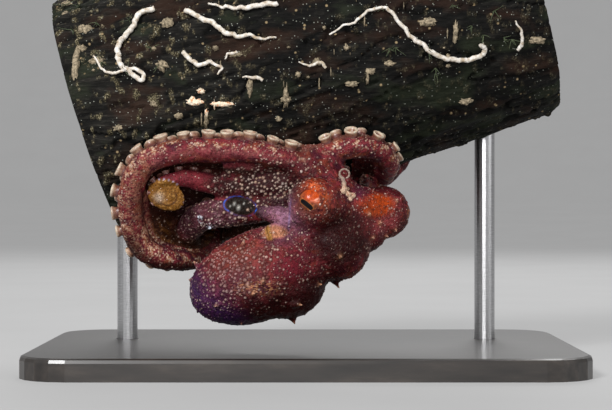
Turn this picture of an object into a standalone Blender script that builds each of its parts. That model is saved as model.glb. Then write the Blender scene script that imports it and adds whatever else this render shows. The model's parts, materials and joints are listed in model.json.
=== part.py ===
"""A half-grown mototi octopus that clings under a short cut length of sunken log, on a display stand.

Metres, +Z up. The origin is on the floor under the middle of the stand's base. The animal is seen from
-Y: its mantle hangs down and to the left, its head is to the right with the left eye towards -Y, and its
arms spread over the bark. Places on the log are given along its axis, round it (0 degrees straight down,
90 towards -Y), and above the bark.
"""

import math
import random

import bmesh
import bpy
import numpy as np
from mathutils import Matrix, Quaternion, Vector
from mathutils.bvhtree import BVHTree

MM = 0.001
GAP = 0.3 * MM  # between solids that touch

# The log: a cylinder with gentle furrows, tilted in the XZ plane.
LOG_RADIUS = 38 * MM
LOG_LENGTH = 130 * MM
LOG_TILT = math.radians(17.7)
LOG_CENTRE = Vector((0, 7, 89)) * MM
LOG_SIDES = 40
LOG_RINGS = 12
FURROW_DEPTH = 0.35 * MM
SWELL = 0.5 * MM

# The stand.
BASE_SIZE = Vector((152, 104, 6)) * MM
BASE_CORNER = 14 * MM
BASE_BEVEL = 1.2 * MM
ROD_RADIUS = 3 * MM
ROD_X = 53 * MM
ROD_Y = 15 * MM
ROD_SINK_BASE = 3.5 * MM
ROD_SINK_LOG = 7 * MM

# The body: centres in millimetres, then half-sizes along X, Y and Z.
MANTLE_CENTRE = Vector((-11.9, -29, 26.8))
MANTLE_HALF = Vector((20.6, 13.4, 12.4))
MANTLE_DROOP = math.radians(21)
HEAD_BALLS = {
    "skull": ((9.2, -27, 42), (10, 9.6, 11)),
    "nape": ((7.2, -28, 34.8), (10.4, 10.4, 10.2)),
    "mantle_rear": ((-5.5, -28.6, 25.5), (11.0, 11.6, 10.8)),
    "right_cheek": ((15.6, -24.5, 39.2), (6.8, 6.8, 6.8)),
    "left_cheek": ((2.6, -32.2, 40.6), (6.4, 6.2, 6.6)),
}
MOUND_HALF = (7.3, 7.0, 7.3)
LEFT_MOUND = Vector((2.3, -35.6, 45.9))
RIGHT_MOUND = Vector((21.2, -22.2, 43.6))
MOUND_ROOT = Vector((10.5, -27, 43))
RIDGE_RADII = (8.0, 6.6)  # of the ridge from there to each mound
ACROSS = Vector((0.797, 0.593, -0.106)).normalized()  # from the left eye's side to the right's
LEFT_GAZE = Vector((-0.21, -0.96, 0.165)).normalized()
LEFT_PUPIL = Vector((-0.36, -0.92, -0.16)).normalized()  # the slit lies low in the lids
LEFT_SLIT = Vector((0.77, -0.20, -0.62)).normalized()  # the slit's long way
EYE_RADIUS = 4.1
EYE_SET = 3.3  # from the mound's centre to the eyeball's, along the gaze
LID_RADIUS = 2.7
LID_THICK = 0.55
PUPIL_LENGTH = 3.8
PUPIL_HEIGHT = 1.1
PUPIL_DEPTH = 0.35

CROWN_CENTRE = Vector((1.6, -25.0, 55.6))
CROWN_HALF = (9.0, 7.2, 6.6)
NECK_RADII = (8.6, 7.6)

# Where the body is parted: a point on each plane and the way it faces, then the width and the depth of
# the blocks that cut there.
NAPE_POINT = Vector((2.4, -28, 32.4))
NAPE_FACE = Vector((0.70, 0, 0.72)).normalized()
NAPE_BLOCK = (120 * MM, 80 * MM)
CROWN_POINT = Vector((5.0, -26.0, 49.6))
CROWN_FACE = Vector((-0.46, 0.2, 0.865)).normalized()
OVER_THE_HEAD = (40 * MM, 30 * MM)
UNDER_THE_CROWN = (27 * MM, 22 * MM)

FUNNEL_ROOT = Vector((-3.0, -31.5, 41.4))
FUNNEL_TIP = Vector((-13.2, -33.8, 44.2))
FUNNEL_RADII = (5.0, 1.7)

PAD_CENTRE = Vector((-8.2, -34.6, 37.4))  # the fold at the mantle's open edge
PAD_HALF = (3.5, 1.8, 2.3)

FLESH_VOXEL = 0.85 * MM
SMOOTHING = 5
BODY_TRIANGLES = 2050
CROWN_TRIANGLES = 1750

# The coil at the end of the second left arm: its middle on the log, its radii, its turns and its slant.
CURL = dict(along=-48.4, degrees=54.1, lift=8.8, outer=3.8, inner=0.6, turns=0.8, start=85, lean=0.5)


def curl_route(along, degrees, lift, outer, inner, turns, start, lean, steps=18):
    """A flat spiral over the bark, leaning so that its lower edge stands further out."""
    points = []
    for i in range(steps + 1):
        share = i / steps
        angle = math.radians(start + 360 * turns * share)
        reach = outer + (inner - outer) * share
        rise = reach * math.sin(angle)
        round_log = math.degrees(rise * math.sqrt(1 - lean**2) / (LOG_RADIUS / MM + lift))
        points.append((along + reach * math.cos(angle), degrees + round_log, lift - lean * rise))
    return points


# Each arm's route over the log as (along mm, round degrees, above the bark mm), its radii at the root and
# the tip, how slowly it thins, how far its suckers turn from the bark at both ends, the distance from one
# row's sucker to the other's in arm radii, where the suckers start, and where its three nodes begin.
ARMS = {
    "arm_left_1": dict(
        route=[
            (-8.4, 45.5, 7.0), (-13.6, 51.3, 7.5), (-23.2, 58.6, 5.9), (-34.7, 64.3, 5.6),
            (-45.3, 67.5, 5.6), (-52.3, 65.4, 5.6), (-57.3, 57.0, 5.6), (-59.6, 46.5, 5.8),
            (-59.9, 38.5, 8.2), (-58.2, 34.0, 10.8), (-55.0, 31.0, 12.8), (-51.0, 27.0, 13.4),
            (-46.5, 20.5, 12.8), (-42.5, 12.5, 11.8),
        ],
        radii=(3.75, 0.8), thinning=8, roll=(-50, -60), sucker_step=0.74, suckers_from=5,
        begins=(31, 52, 76),
    ),
    "arm_left_2": dict(
        route=[
            (-8.6, 44.1, 7.0), (-15.1, 45.2, 9.0), (-22.2, 44.6, 8.5), (-28.7, 46.2, 7.2),
            (-35.6, 50.5, 6.0), (-42.1, 56.2, 6.2), *curl_route(**CURL),
        ],
        radii=(3.6, 0.6), thinning=2.3, roll=(38, -120), sucker_step=0.95, suckers_from=31,
        begins=(31, 38, 46),
    ),
    "arm_left_3": dict(
        route=[
            (-8.9, 43.5, 8.0), (-13.5, 41.0, 11.0), (-21.1, 39.6, 12.0), (-28.5, 40.2, 11.2),
            (-34.5, 41.5, 10.4), (-38.2, 41.6, 9.6), (-41.9, 39.8, 8.4), (-45.2, 35.1, 7.4),
            (-47.2, 28.2, 7.0), (-46.3, 19.5, 6.8), (-43.8, 11.0, 6.8),
        ],
        radii=(4.2, 1.0), thinning=4.5, roll=(45, 20), sucker_step=0.8, suckers_from=31,
        begins=(31, 42, 53),
    ),
    "arm_left_4": dict(
        route=[
            (-8.4, 43.0, 7.0), (-15.8, 34.0, 7.0), (-24.5, 25.5, 7.0), (-30.8, 21.0, 7.0),
            (-35.0, 13.5, 6.4), (-37.8, 4.5, 5.8), (-40.5, -6.5, 5.2), (-42.0, -19.0, 5.0),
            (-41.0, -34.0, 4.8), (-42.0, -47.0, 4.3), (-49.0, -55.0, 3.4),
        ],
        radii=(3.5, 0.6), thinning=2.2, roll=(0, 10), sucker_step=1.55, suckers_from=24,
        begins=(24, 46, 68),
    ),
    "arm_right_4": dict(
        route=[
            (-8.4, 42.5, 7.0), (-12.0, 31.0, 6.4), (-18.0, 20.0, 5.8), (-19.5, 7.0, 5.4), (-17.5, -9.0, 5.2),
            (-12.5, -26.0, 5.0), (-7.0, -41.0, 4.8), (-8.0, -56.0, 4.2), (-16.0, -64.0, 3.4),
        ],
        radii=(3.1, 0.6), thinning=2.2, roll=(0, 10), sucker_step=1.55, suckers_from=16,
        begins=(16, 36, 56),
    ),
    "arm_right_3": dict(
        route=[
            (-8.4, 43.0, 7.0), (-7.2, 32.0, 6.4), (-9.6, 20.5, 5.8), (-9.4, 8.0, 5.4), (-6.5, -6.0, 5.2),
            (0.5, -20.0, 5.0), (7.5, -34.0, 4.8), (9.0, -50.0, 4.2), (2.0, -61.0, 3.4),
        ],
        radii=(3.1, 0.6), thinning=2.2, roll=(0, -10), sucker_step=1.55, suckers_from=16,
        begins=(16, 36, 56),
    ),
    "arm_right_2": dict(
        route=[
            (-8.4, 44.0, 7.0), (-2.5, 36.0, 6.3), (-1.4, 24.0, 5.6), (0.3, 10.0, 5.3), (4.5, -3.0, 5.2),
            (10.5, -15.0, 5.0), (18.0, -27.0, 4.8), (24.0, -39.0, 4.2), (21.0, -50.0, 3.2),
        ],
        radii=(3.1, 0.6), thinning=2.2, roll=(0, -15), sucker_step=1.55, suckers_from=16,
        begins=(16, 34, 52),
    ),
    "arm_right_1": dict(
        route=[
            (-7.1, 46.3, 7.0), (-2.7, 47.6, 6.0), (3.0, 46.9, 5.6), (8.1, 43.6, 5.4), (11.3, 38.4, 5.2),
            (12.3, 29.7, 5.2), (10.4, 20.2, 5.2), (7.3, 16.9, 5.4), (5.0, 23.5, 6.4), (5.2, 31.0, 7.2),
        ],
        radii=(3.8, 0.8), thinning=2.0, roll=(50, 60), sucker_step=0.85, suckers_from=5,
        begins=(13, 24, 34),
    ),
}
LENGTHS = ("root", "middle", "tip")
ROUND_THE_MOUTH = (
    "arm_left_1", "arm_left_2", "arm_left_3", "arm_left_4",
    "arm_right_4", "arm_right_3", "arm_right_2", "arm_right_1",
)
WEB_SHORT = 0.8  # the web ends this far before each arm's first node
WEB_THICKNESS = 1.7
WEB_HOLLOW = 0.15  # how far the web's free edge curves in, as a share of its depth
ARM_SIDES = 8
ARM_STEP = 1.05  # between rings, in arm radii
ROLL_DELAY = 3  # an arm turns mostly near its tip
ORAL_FLAT = 0.9  # an arm's depth through its suckers, as a share of its width

# Suckers stand in two rows that alternate.
SUCKER_SIDES = 6
SUCKER_WIDTH = 1.0  # a sucker's diameter, in arm radii
SHORTEST_STEP = 2.5  # from one row's sucker to the other's
SUCKER_HEIGHT = 0.42  # above the arm, in arm radii
SUCKER_SUNK = 0.55  # below its skin, in sucker radii, as are the three that follow
SUCKER_FOOT = 0.72
SUCKER_RIM = 0.36
SUCKER_DIMPLE = 0.34
SUCKER_ROW_ANGLE = 27
SMALLEST_SUCKER = 0.42

# Papillae, the skin's soft points, that show from the front: where each stands as (X, Z), the way it points
# as (X, Z) besides straight out, and its height, all in mm.
MANTLE_PAPILLAE = [
    ((-30.6, 30.1), (-0.6, 0.5), 1.9), ((-31.4, 25.4), (-0.6, -0.2), 0.8), ((-17.3, 14.3), (0, -0.8), 0.9),
    ((-3.6, 15.0), (0.2, -0.9), 1.8), ((8.2, 24.0), (0.5, -0.6), 1.9), ((-2.4, 19.4), (0.5, 0.3), 1.8),
    ((-23.5, 19.2), (-0.3, -0.2), 1.2), ((3.2, 24.4), (0.2, 0.2), 1.2), ((-14.2, 22.2), (0.4, 0.4), 1.6),
]
HEAD_PAPILLAE = [
    ((25.2, 37.2), (0.5, -0.8), 1.0), ((18.0, 37.0), (0.0, -0.5), 0.9), ((21.8, 37.3), (0.2, -0.4), 0.7),
    ((9.0, 32.2), (0.3, -0.3), 0.8),
]
FAR_PAPILLAE = 9  # on the mantle's far side
FAR_HEIGHTS = (0.8, 1.6)
PAPILLA_SUNK = 0.6 * MM
PAPILLA_ROOT = 0.6 * MM  # its root's radius, besides a share of its height
PAPILLA_SPREAD = 0.3
PAPILLA_POINT = 0.2 * MM
CURL_ROOT = (10.6, 49.0)  # the curled papilla beside the left eye, as (X, Z)
CURL_STEM = 3.6
CURL_LOOP = 1.3
CURL_RADII = (0.85, 0.32)
SEED = 7


def at(x, y, z):
    """A place given in millimetres."""
    return Vector((x, y, z)) * MM


# Log

ALONG = Vector((math.cos(LOG_TILT), 0, math.sin(LOG_TILT)))
DOWN = Vector((math.sin(LOG_TILT), 0, -math.cos(LOG_TILT)))
FRONT = Vector((0, -1, 0))


def bark_radius(along, turn):
    """The log's radius at a place along it, in metres, and round it, in radians."""
    swell = SWELL * math.sin(along / (21 * MM) + 0.7) * math.cos(turn * 2 + 0.4)
    furrow = FURROW_DEPTH * math.sin(turn * 11 + 1.3 * math.sin(along / (17 * MM)))
    return LOG_RADIUS + swell + furrow


def out_of_log(turn):
    return DOWN * math.cos(turn) + FRONT * math.sin(turn)


def on_log(along, degrees, lift):
    """The place that many millimetres along the log, degrees round it and millimetres above its bark."""
    turn = math.radians(degrees)
    reach = bark_radius(along * MM, turn) + lift * MM
    return LOG_CENTRE + ALONG * along * MM + out_of_log(turn) * reach


# Meshes


def new_object(name, bm):
    mesh = bpy.data.meshes.new(name)
    bmesh.ops.recalc_face_normals(bm, faces=bm.faces)
    bm.to_mesh(mesh)
    bm.free()
    obj = bpy.data.objects.new(name, mesh)
    bpy.context.scene.collection.objects.link(obj)
    return obj


def loft(name, rings):
    """A closed body through rings of points, its first and last ring capped."""
    bm = bmesh.new()
    loops = [[bm.verts.new(point) for point in ring] for ring in rings]
    count = len(rings[0])
    for low, high in zip(loops, loops[1:]):
        for i in range(count):
            j = (i + 1) % count
            bm.faces.new((low[i], low[j], high[j], high[i]))
    for end in (loops[0][::-1], loops[-1]):
        bm.faces.new(end)
    bmesh.ops.triangulate(bm, faces=[f for f in bm.faces if len(f.verts) > 4])
    return new_object(name, bm)


def ball(name, centre, half, turn=None, sides=24):
    """An ellipsoid of those half-sizes, in millimetres, turned about its centre."""
    bm = bmesh.new()
    place = Matrix.Translation(Vector(centre) * MM) @ (turn or Matrix.Identity(4))
    size = Matrix.Diagonal((*[h * MM for h in half], 1))
    bmesh.ops.create_uvsphere(bm, u_segments=sides, v_segments=sides // 2, radius=1, matrix=place @ size)
    return new_object(name, bm)


def pointing(direction, up=Vector((0, 0, 1))):
    """A turn that takes +Z to the direction and keeps +Y as near to up as it can."""
    z = direction.normalized()
    x = up.cross(z).normalized()
    y = z.cross(x)
    return Matrix((x, y, z)).transposed().to_4x4()


def cone(name, root, tip, radii, sides=20):
    """A round cone or cylinder between two places, with a radius at each."""
    bm = bmesh.new()
    axis = tip - root
    up = Vector((0, 0, 1)) if abs(axis.normalized().z) < 0.9 else Vector((0, 1, 0))
    place = Matrix.Translation((root + tip) / 2) @ pointing(axis, up)
    bmesh.ops.create_cone(
        bm, cap_ends=True, segments=sides, radius1=radii[0], radius2=radii[1],
        depth=axis.length, matrix=place,
    )
    return new_object(name, bm)


def torus(name, centre, axis, radius, tube, around=16, sides=5):
    """A ring about an axis, which lies on the surface as a lid does."""
    turn = pointing(axis)
    rings = []
    bm = bmesh.new()
    for i in range(around):
        a = 2 * math.pi * i / around
        out = turn @ Vector((math.cos(a), math.sin(a), 0))
        ring = []
        for k in range(sides):
            b = 2 * math.pi * k / sides
            place = centre + out * (radius + tube * math.cos(b)) + axis * tube * math.sin(b)
            ring.append(bm.verts.new(place))
        rings.append(ring)
    for low, high in zip(rings, rings[1:] + rings[:1]):
        for k in range(sides):
            m = (k + 1) % sides
            bm.faces.new((low[k], low[m], high[m], high[k]))
    return new_object(name, bm)


def remove(*objects):
    for obj in objects:
        bpy.data.objects.remove(obj)


def evaluated(obj):
    """The object's mesh as its modifiers leave it, as a new mesh."""
    graph = bpy.context.evaluated_depsgraph_get()
    graph.update()
    return bpy.data.meshes.new_from_object(obj.evaluated_get(graph))


def keep_largest(mesh):
    """Leaves a mesh only its largest closed surface."""
    bm = bmesh.new()
    bm.from_mesh(mesh)
    bmesh.ops.triangulate(bm, faces=bm.faces)
    bmesh.ops.dissolve_degenerate(bm, edges=bm.edges, dist=1e-7)
    bmesh.ops.triangulate(bm, faces=[f for f in bm.faces if len(f.verts) > 3])
    unseen = set(bm.verts)
    bodies = []
    while unseen:
        front = [unseen.pop()]
        body = set(front)
        while front:
            vertex = front.pop()
            for edge in vertex.link_edges:
                other = edge.other_vert(vertex)
                if other in unseen:
                    unseen.discard(other)
                    body.add(other)
                    front.append(other)
        bodies.append(body)
    largest = max(bodies, key=reach_of)
    for body in bodies:
        if body is not largest:
            bmesh.ops.delete(bm, geom=list(body), context="VERTS")
    bm.to_mesh(mesh)
    bm.free()


def reach_of(body):
    """The product of a body's three extents, which ranks bodies by size."""
    places = np.array([v.co for v in body])
    return float(np.prod(np.ptp(places, axis=0) + 1e-9))


def settle(obj):
    """Applies an object's modifiers and keeps its largest body."""
    mesh = evaluated(obj)
    keep_largest(mesh)
    obj.modifiers.clear()
    obj.data = mesh
    return obj


def fused(name, pieces):
    """One body from overlapping closed pieces, by one union on a collection."""
    first, rest = pieces[0], pieces[1:]
    if rest:
        group = bpy.data.collections.new(name + "_pieces")
        for piece in rest:
            group.objects.link(piece)
        union = first.modifiers.new("union", "BOOLEAN")
        union.operation = "UNION"
        union.operand_type = "COLLECTION"
        union.collection = group
        union.solver = "EXACT"
        settle(first)
        remove(*rest)
        bpy.data.collections.remove(group)
    first.name = name
    return first


def cut(obj, *cutters):
    """Cuts each cutter out of a body and removes it."""
    for cutter in cutters:
        difference = obj.modifiers.new("cut", "BOOLEAN")
        difference.operation = "DIFFERENCE"
        difference.object = cutter
        difference.solver = "EXACT"
        settle(obj)
    remove(*cutters)
    return obj


def block(point, normal, size, depth):
    """A box whose face lies on a plane and which fills the side that the normal points to."""
    bm = bmesh.new()
    bmesh.ops.create_cube(bm, size=1)
    place = Matrix.Translation(point + normal * depth / 2) @ pointing(normal)
    bmesh.ops.transform(bm, matrix=place @ Matrix.Diagonal((size, size, depth, 1)), verts=bm.verts)
    return new_object("block", bm)


def softened(name, pieces, triangles):
    """One smooth body from overlapping closed pieces: joined, remeshed, smoothed and thinned out."""
    bm = bmesh.new()
    for piece in pieces:
        bm.from_mesh(piece.data)
    body = new_object(name, bm)
    remove(*pieces)
    remesh = body.modifiers.new("remesh", "REMESH")
    remesh.mode = "VOXEL"
    remesh.voxel_size = FLESH_VOXEL
    smooth = body.modifiers.new("smooth", "SMOOTH")
    smooth.factor = 0.5
    smooth.iterations = SMOOTHING
    settle(body)
    thin = body.modifiers.new("thin", "DECIMATE")
    thin.ratio = min(1.0, triangles / len(body.data.polygons))
    return settle(body)


# Arms


def smooth_route(points, steps=12):
    """A Catmull-Rom curve through an arm's route, in the log's own coordinates."""
    padded = [2 * np.array(points[0]) - np.array(points[1]), *map(np.array, points)]
    padded.append(2 * np.array(points[-1]) - np.array(points[-2]))
    curve = []
    for a, b, c, d in zip(padded, padded[1:], padded[2:], padded[3:]):
        square = 2 * a - 5 * b + 4 * c - d
        cube = 3 * b - a - 3 * c + d
        for i in range(steps):
            t = i / steps
            curve.append(0.5 * (2 * b + (c - a) * t + square * t**2 + cube * t**3))
    curve.append(padded[-2])
    return curve


class Arm:
    """An arm's centre line and what it carries at any distance from the mouth, in millimetres."""

    def __init__(self, route, radii, thinning, roll, sucker_step, suckers_from, begins):
        self.curve = smooth_route(route)
        self.places = [on_log(*point) for point in self.curve]
        steps = [(b - a).length / MM for a, b in zip(self.places, self.places[1:])]
        self.distances = np.concatenate([[0], np.cumsum(steps)])
        self.length = float(self.distances[-1])
        self.radii = radii
        self.thinning = thinning
        self.roll = roll
        self.sucker_step = sucker_step
        self.suckers_from = suckers_from
        self.begins = begins

    def _look_up(self, values, distance):
        return np.array([np.interp(distance, self.distances, v) for v in np.array(values).T])

    def place(self, distance):
        return Vector(self._look_up([list(p) for p in self.places], distance))

    def radius(self, distance):
        root, tip = self.radii
        return tip + (root - tip) * (1 - min(1, distance / self.length) ** self.thinning)

    def heading(self, distance):
        step = 0.6
        ahead = self.place(min(distance + step, self.length))
        return (ahead - self.place(max(distance - step, 0))).normalized()

    def oral(self, distance):
        """The way the suckers face: to the bark, rolled about the arm."""
        turn = math.radians(self._look_up(self.curve, distance)[1])
        heading = self.heading(distance)
        to_bark = -out_of_log(turn)
        to_bark = (to_bark - heading * to_bark.dot(heading)).normalized()
        share = (distance / self.length) ** ROLL_DELAY
        roll = math.radians(self.roll[0] + (self.roll[1] - self.roll[0]) * share)
        return Quaternion(heading, roll) @ to_bark

    def ring(self, distance, sides):
        """A ring of points round the arm, a little flatter through the suckers than across."""
        centre, heading, oral = self.place(distance), self.heading(distance), self.oral(distance)
        across = heading.cross(oral)
        radius = self.radius(distance) * MM
        angles = [2 * math.pi * (i + 0.5) / sides for i in range(sides)]
        return [centre + (oral * ORAL_FLAT * math.cos(a) + across * math.sin(a)) * radius for a in angles]

    def stations(self, start, end):
        """Distances from start to end, close together where the arm is thin."""
        found = [start]
        while found[-1] < end:
            found.append(found[-1] + max(0.9, ARM_STEP * self.radius(found[-1])))
        if len(found) > 2 and found[-1] - end > 0.5 * (found[-1] - found[-2]):
            found.pop()
        found[-1] = end
        return found

    def tube(self, name, start, end, sides=ARM_SIDES):
        return loft(name, [self.ring(d, sides) for d in self.stations(start, end)])


def sucker(name, root, axis, radius, height):
    """A short cup with a dimple, its root below the skin."""
    sunk = SUCKER_SUNK * radius
    bm = bmesh.new()
    place = Matrix.Translation(root + axis * (height - sunk) / 2) @ pointing(axis, axis.orthogonal())
    bmesh.ops.create_cone(
        bm, cap_ends=True, segments=SUCKER_SIDES, radius1=SUCKER_FOOT * radius, radius2=radius,
        depth=height + sunk, matrix=place,
    )
    bm.normal_update()
    caps = [f for f in bm.faces if len(f.verts) == SUCKER_SIDES]
    mouth = max(caps, key=lambda f: f.normal.dot(axis))
    bmesh.ops.inset_individual(bm, faces=[mouth], thickness=SUCKER_RIM * radius)
    for vertex in mouth.verts:
        vertex.co -= axis * SUCKER_DIMPLE * radius
    return new_object(name, bm)


def sucker_places(arm):
    """(distance, row) of every sucker on an arm, each row's sucker between two of the other's."""
    distance = arm.suckers_from
    row = 1
    while distance < arm.length - 0.8 and arm.radius(distance) * SUCKER_WIDTH / 2 > SMALLEST_SUCKER:
        yield distance, row
        distance += max(SHORTEST_STEP, arm.sucker_step * arm.radius(distance))
        row = -row


def suckers_between(arm, start, end):
    """The suckers that stand whole on that length of an arm."""
    pieces = []
    for distance, row in sucker_places(arm):
        radius = arm.radius(distance)
        half = SUCKER_WIDTH * radius / 2
        if not start + half < distance < end - half:
            continue
        heading = arm.heading(distance)
        axis = Quaternion(heading, row * math.radians(SUCKER_ROW_ANGLE)) @ arm.oral(distance)
        root = arm.place(distance) + axis * radius * ORAL_FLAT * 0.93 * MM
        pieces.append(sucker("sucker", root, axis, half * MM, SUCKER_HEIGHT * radius * MM))
    return pieces


def arm_nodes(name, arm):
    """An arm's lengths, each a tube with its suckers fused on."""
    ends = [start - GAP / MM for start in arm.begins[1:]] + [arm.length]
    nodes = []
    for part, start, end in zip(LENGTHS, arm.begins, ends):
        label = f"{name}_{part}"
        nodes.append(fused(label, [arm.tube(label, start, end), *suckers_between(arm, start, end)]))
    return nodes


# Body


def mantle_ball():
    turn = Matrix.Rotation(-MANTLE_DROOP, 4, "Y")
    return ball("mantle", MANTLE_CENTRE, MANTLE_HALF, turn, sides=40)


def mound(name, centre):
    """An eye's raised mound and the ridge that carries it."""
    root = MOUND_ROOT * MM
    return [
        ball(name, centre, MOUND_HALF, sides=28),
        cone(name + "_ridge", root, centre * MM, [r * MM for r in RIDGE_RADII]),
    ]


def neck():
    """The short stalk from the head to the arms' crown."""
    head = Vector(HEAD_BALLS["skull"][0])
    return cone("neck", head * MM, CROWN_CENTRE * MM, [r * MM for r in NECK_RADII], sides=28)


def body_pieces():
    pieces = [mantle_ball(), neck()]
    pieces += [ball(name, centre, half) for name, (centre, half) in HEAD_BALLS.items()]
    pieces += mound("left_mound", LEFT_MOUND) + mound("right_mound", RIGHT_MOUND)
    pieces.append(ball("mantle_fold", PAD_CENTRE, PAD_HALF, Matrix.Rotation(-0.35, 4, "Y")))
    return pieces


def web(first, second):
    """The membrane between two arms, thick enough to remesh, its free edge curved in."""
    rows, columns = 13, 7
    depths = [arm.begins[0] - WEB_SHORT for arm in (first, second)]
    middle = []
    for i in range(rows):
        row = []
        for k in range(columns):
            across = k / (columns - 1)
            hollow = 1 - WEB_HOLLOW * math.sin(math.pi * across)
            share = i / (rows - 1) * hollow
            edges = [arm.place(depth * share) for arm, depth in zip((first, second), depths)]
            row.append(edges[0].lerp(edges[1], across))
        middle.append(row)
    bm = bmesh.new()
    grid = [[bm.verts.new(place) for place in row] for row in middle]
    for low, high in zip(grid, grid[1:]):
        for k in range(columns - 1):
            bm.faces.new((low[k], low[k + 1], high[k + 1], high[k]))
    bmesh.ops.remove_doubles(bm, verts=bm.verts, dist=1e-6)
    sheet = new_object("web", bm)
    shell = sheet.modifiers.new("shell", "SOLIDIFY")
    shell.thickness = WEB_THICKNESS * MM
    shell.offset = 0
    return settle(sheet)


def crown_pieces(arms):
    pieces = [neck()]
    pieces.append(ball("crown", CROWN_CENTRE, CROWN_HALF, sides=28))
    for name, arm in arms.items():
        pieces.append(arm.tube(name + "_stub", 0, arm.begins[0] + 3, sides=14))
    for first, second in zip(ROUND_THE_MOUTH, ROUND_THE_MOUTH[1:]):
        pieces.append(web(arms[first], arms[second]))
    return pieces


def crown_node(arms):
    """The arms' crown with its webs, cut flat where each arm begins and where the head does."""
    crown = softened("arm_crown", crown_pieces(arms), CROWN_TRIANGLES)
    for arm in arms.values():
        start = arm.begins[0] - GAP / MM
        root, heading = arm.place(start), arm.heading(start)
        reach = (arm.radius(start) + 1.1) * MM
        cut(crown, cone("end", root, root + heading * 6 * MM, (reach, reach), sides=16))
    face = CROWN_POINT * MM + CROWN_FACE * GAP / 2
    cut(crown, block(face, -CROWN_FACE, *UNDER_THE_CROWN))
    suckers = [s for arm in arms.values() for s in suckers_between(arm, 0, arm.begins[0] - GAP / MM)]
    return fused("arm_crown", [crown, *suckers])


def funnel(name, grow=0.0):
    """The funnel under the left eye, a cone; the one that cuts its socket is grown a little."""
    root, tip = FUNNEL_ROOT * MM, FUNNEL_TIP * MM
    axis = (tip - root).normalized()
    stretch = (tip - root).length
    rings = []
    turn = pointing(axis)
    wide, narrow = [(r + grow) * MM for r in FUNNEL_RADII]
    for i in range(6):
        t = i / 5
        radius = wide + (narrow - wide) * t**0.8
        centre = root + axis * stretch * t
        rings.append([
            centre + turn @ Vector((math.cos(a) * radius, math.sin(a) * radius * 0.85, 0))
            for a in [2 * math.pi * k / 12 for k in range(12)]
        ])
    rings[0] = [root - axis * grow * MM + (p - root) for p in rings[0]]
    return loft(name, rings)


def socket(centre, gaze):
    place = centre + gaze * EYE_SET
    return ball("socket", place, [EYE_RADIUS + GAP / MM] * 3, pointing(gaze), sides=16)


def lid(centre, gaze):
    """The skin's ring round the eye, set on the mound."""
    depth = math.sqrt(MOUND_HALF[0] ** 2 - LID_RADIUS**2)
    radius = (LID_RADIUS + LID_THICK * 0.7) * MM
    return torus("lid", (centre + gaze * depth) * MM, gaze, radius, LID_THICK * MM)


def mirrored(way):
    """A direction on the other side of the head."""
    return way - 2 * way.dot(ACROSS) * ACROSS


def eye(name, centre, gaze, pupil, slit):
    """An eyeball with the slit of its pupil sunk in."""
    place = centre + gaze * EYE_SET
    eyeball = ball(name, place, [EYE_RADIUS] * 3, pointing(gaze), sides=16)
    bm = bmesh.new()
    bmesh.ops.create_cube(bm, size=1)
    size = Matrix.Diagonal((PUPIL_HEIGHT * MM, PUPIL_LENGTH * MM, 2 * PUPIL_DEPTH * MM, 1))
    front = Matrix.Translation((place + pupil * EYE_RADIUS) * MM)
    bmesh.ops.transform(bm, matrix=front @ pointing(pupil, slit) @ size, verts=bm.verts)
    return cut(eyeball, new_object("pupil", bm))


def papilla(root, way, height):
    """A blunt cone whose root is sunk into the skin."""
    radii = (PAPILLA_ROOT + PAPILLA_SPREAD * height, PAPILLA_POINT)
    return cone("papilla", root - way * PAPILLA_SUNK, root + way * height, radii, sides=6)


def skin_at(tree, x, z):
    """The skin's place and outward way at (x, z) as seen from the front, or the nearest to it."""
    hit, normal, _, _ = tree.ray_cast(at(x, -80, z), Vector((0, 1, 0)))
    if hit is None:
        hit, normal, _, _ = tree.find_nearest(at(x, MANTLE_CENTRE.y, z))
    return hit, normal


def near_papillae(tree, places):
    """The papillae that show from the front."""
    points = []
    for (x, z), (lean_x, lean_z), height in places:
        hit, normal = skin_at(tree, x, z)
        way = (normal + Vector((lean_x, 0, lean_z))).normalized()
        points.append(papilla(hit, way, height * MM))
    return points


def far_papillae(tree, rng):
    """More papillae, spread over the side of the mantle that faces the log."""
    points = []
    for k in range(FAR_PAPILLAE):
        along = 0.9 - 1.1 * (k + 0.5) / FAR_PAPILLAE
        angle = math.radians(-70 + 140 * ((k * 0.618) % 1))
        ring = math.sqrt(1 - along * along)
        way = Vector((-along, ring * math.cos(angle), ring * math.sin(angle)))
        hit, normal, _, _ = tree.ray_cast(MANTLE_CENTRE * MM, way)
        points.append(papilla(hit, normal, rng.uniform(*FAR_HEIGHTS) * MM))
    return points


def curled_papilla(tree):
    """The pale papilla beside the left eye: a stem whose end rolls up into a loop."""
    root, _ = skin_at(tree, *CURL_ROOT)
    route = [root + at(0.4, 0.8, -0.6), root + at(-0.3, -0.4, 0.8), root + at(-0.5, -0.6, 2.4)]
    loop = root + at(-0.35, -0.7, CURL_STEM + CURL_LOOP)
    for i in range(9):
        angle = math.radians(250 - 36 * i)
        route.append(loop + at(math.cos(angle) * CURL_LOOP, 0.06 * i, math.sin(angle) * CURL_LOOP))
    rings = []
    for i, place in enumerate(route):
        before, after = route[max(0, i - 1)], route[min(len(route) - 1, i + 1)]
        turn = pointing(after - before, Vector((0, 1, 0)))
        share = min(1, i / 4)
        radius = (CURL_RADII[0] + (CURL_RADII[1] - CURL_RADII[0]) * share) * MM
        angles = [2 * math.pi * k / 5 for k in range(5)]
        rings.append([place + turn @ Vector((math.cos(a), math.sin(a), 0)) * radius for a in angles])
    return loft("curled_papilla", rings)


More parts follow.
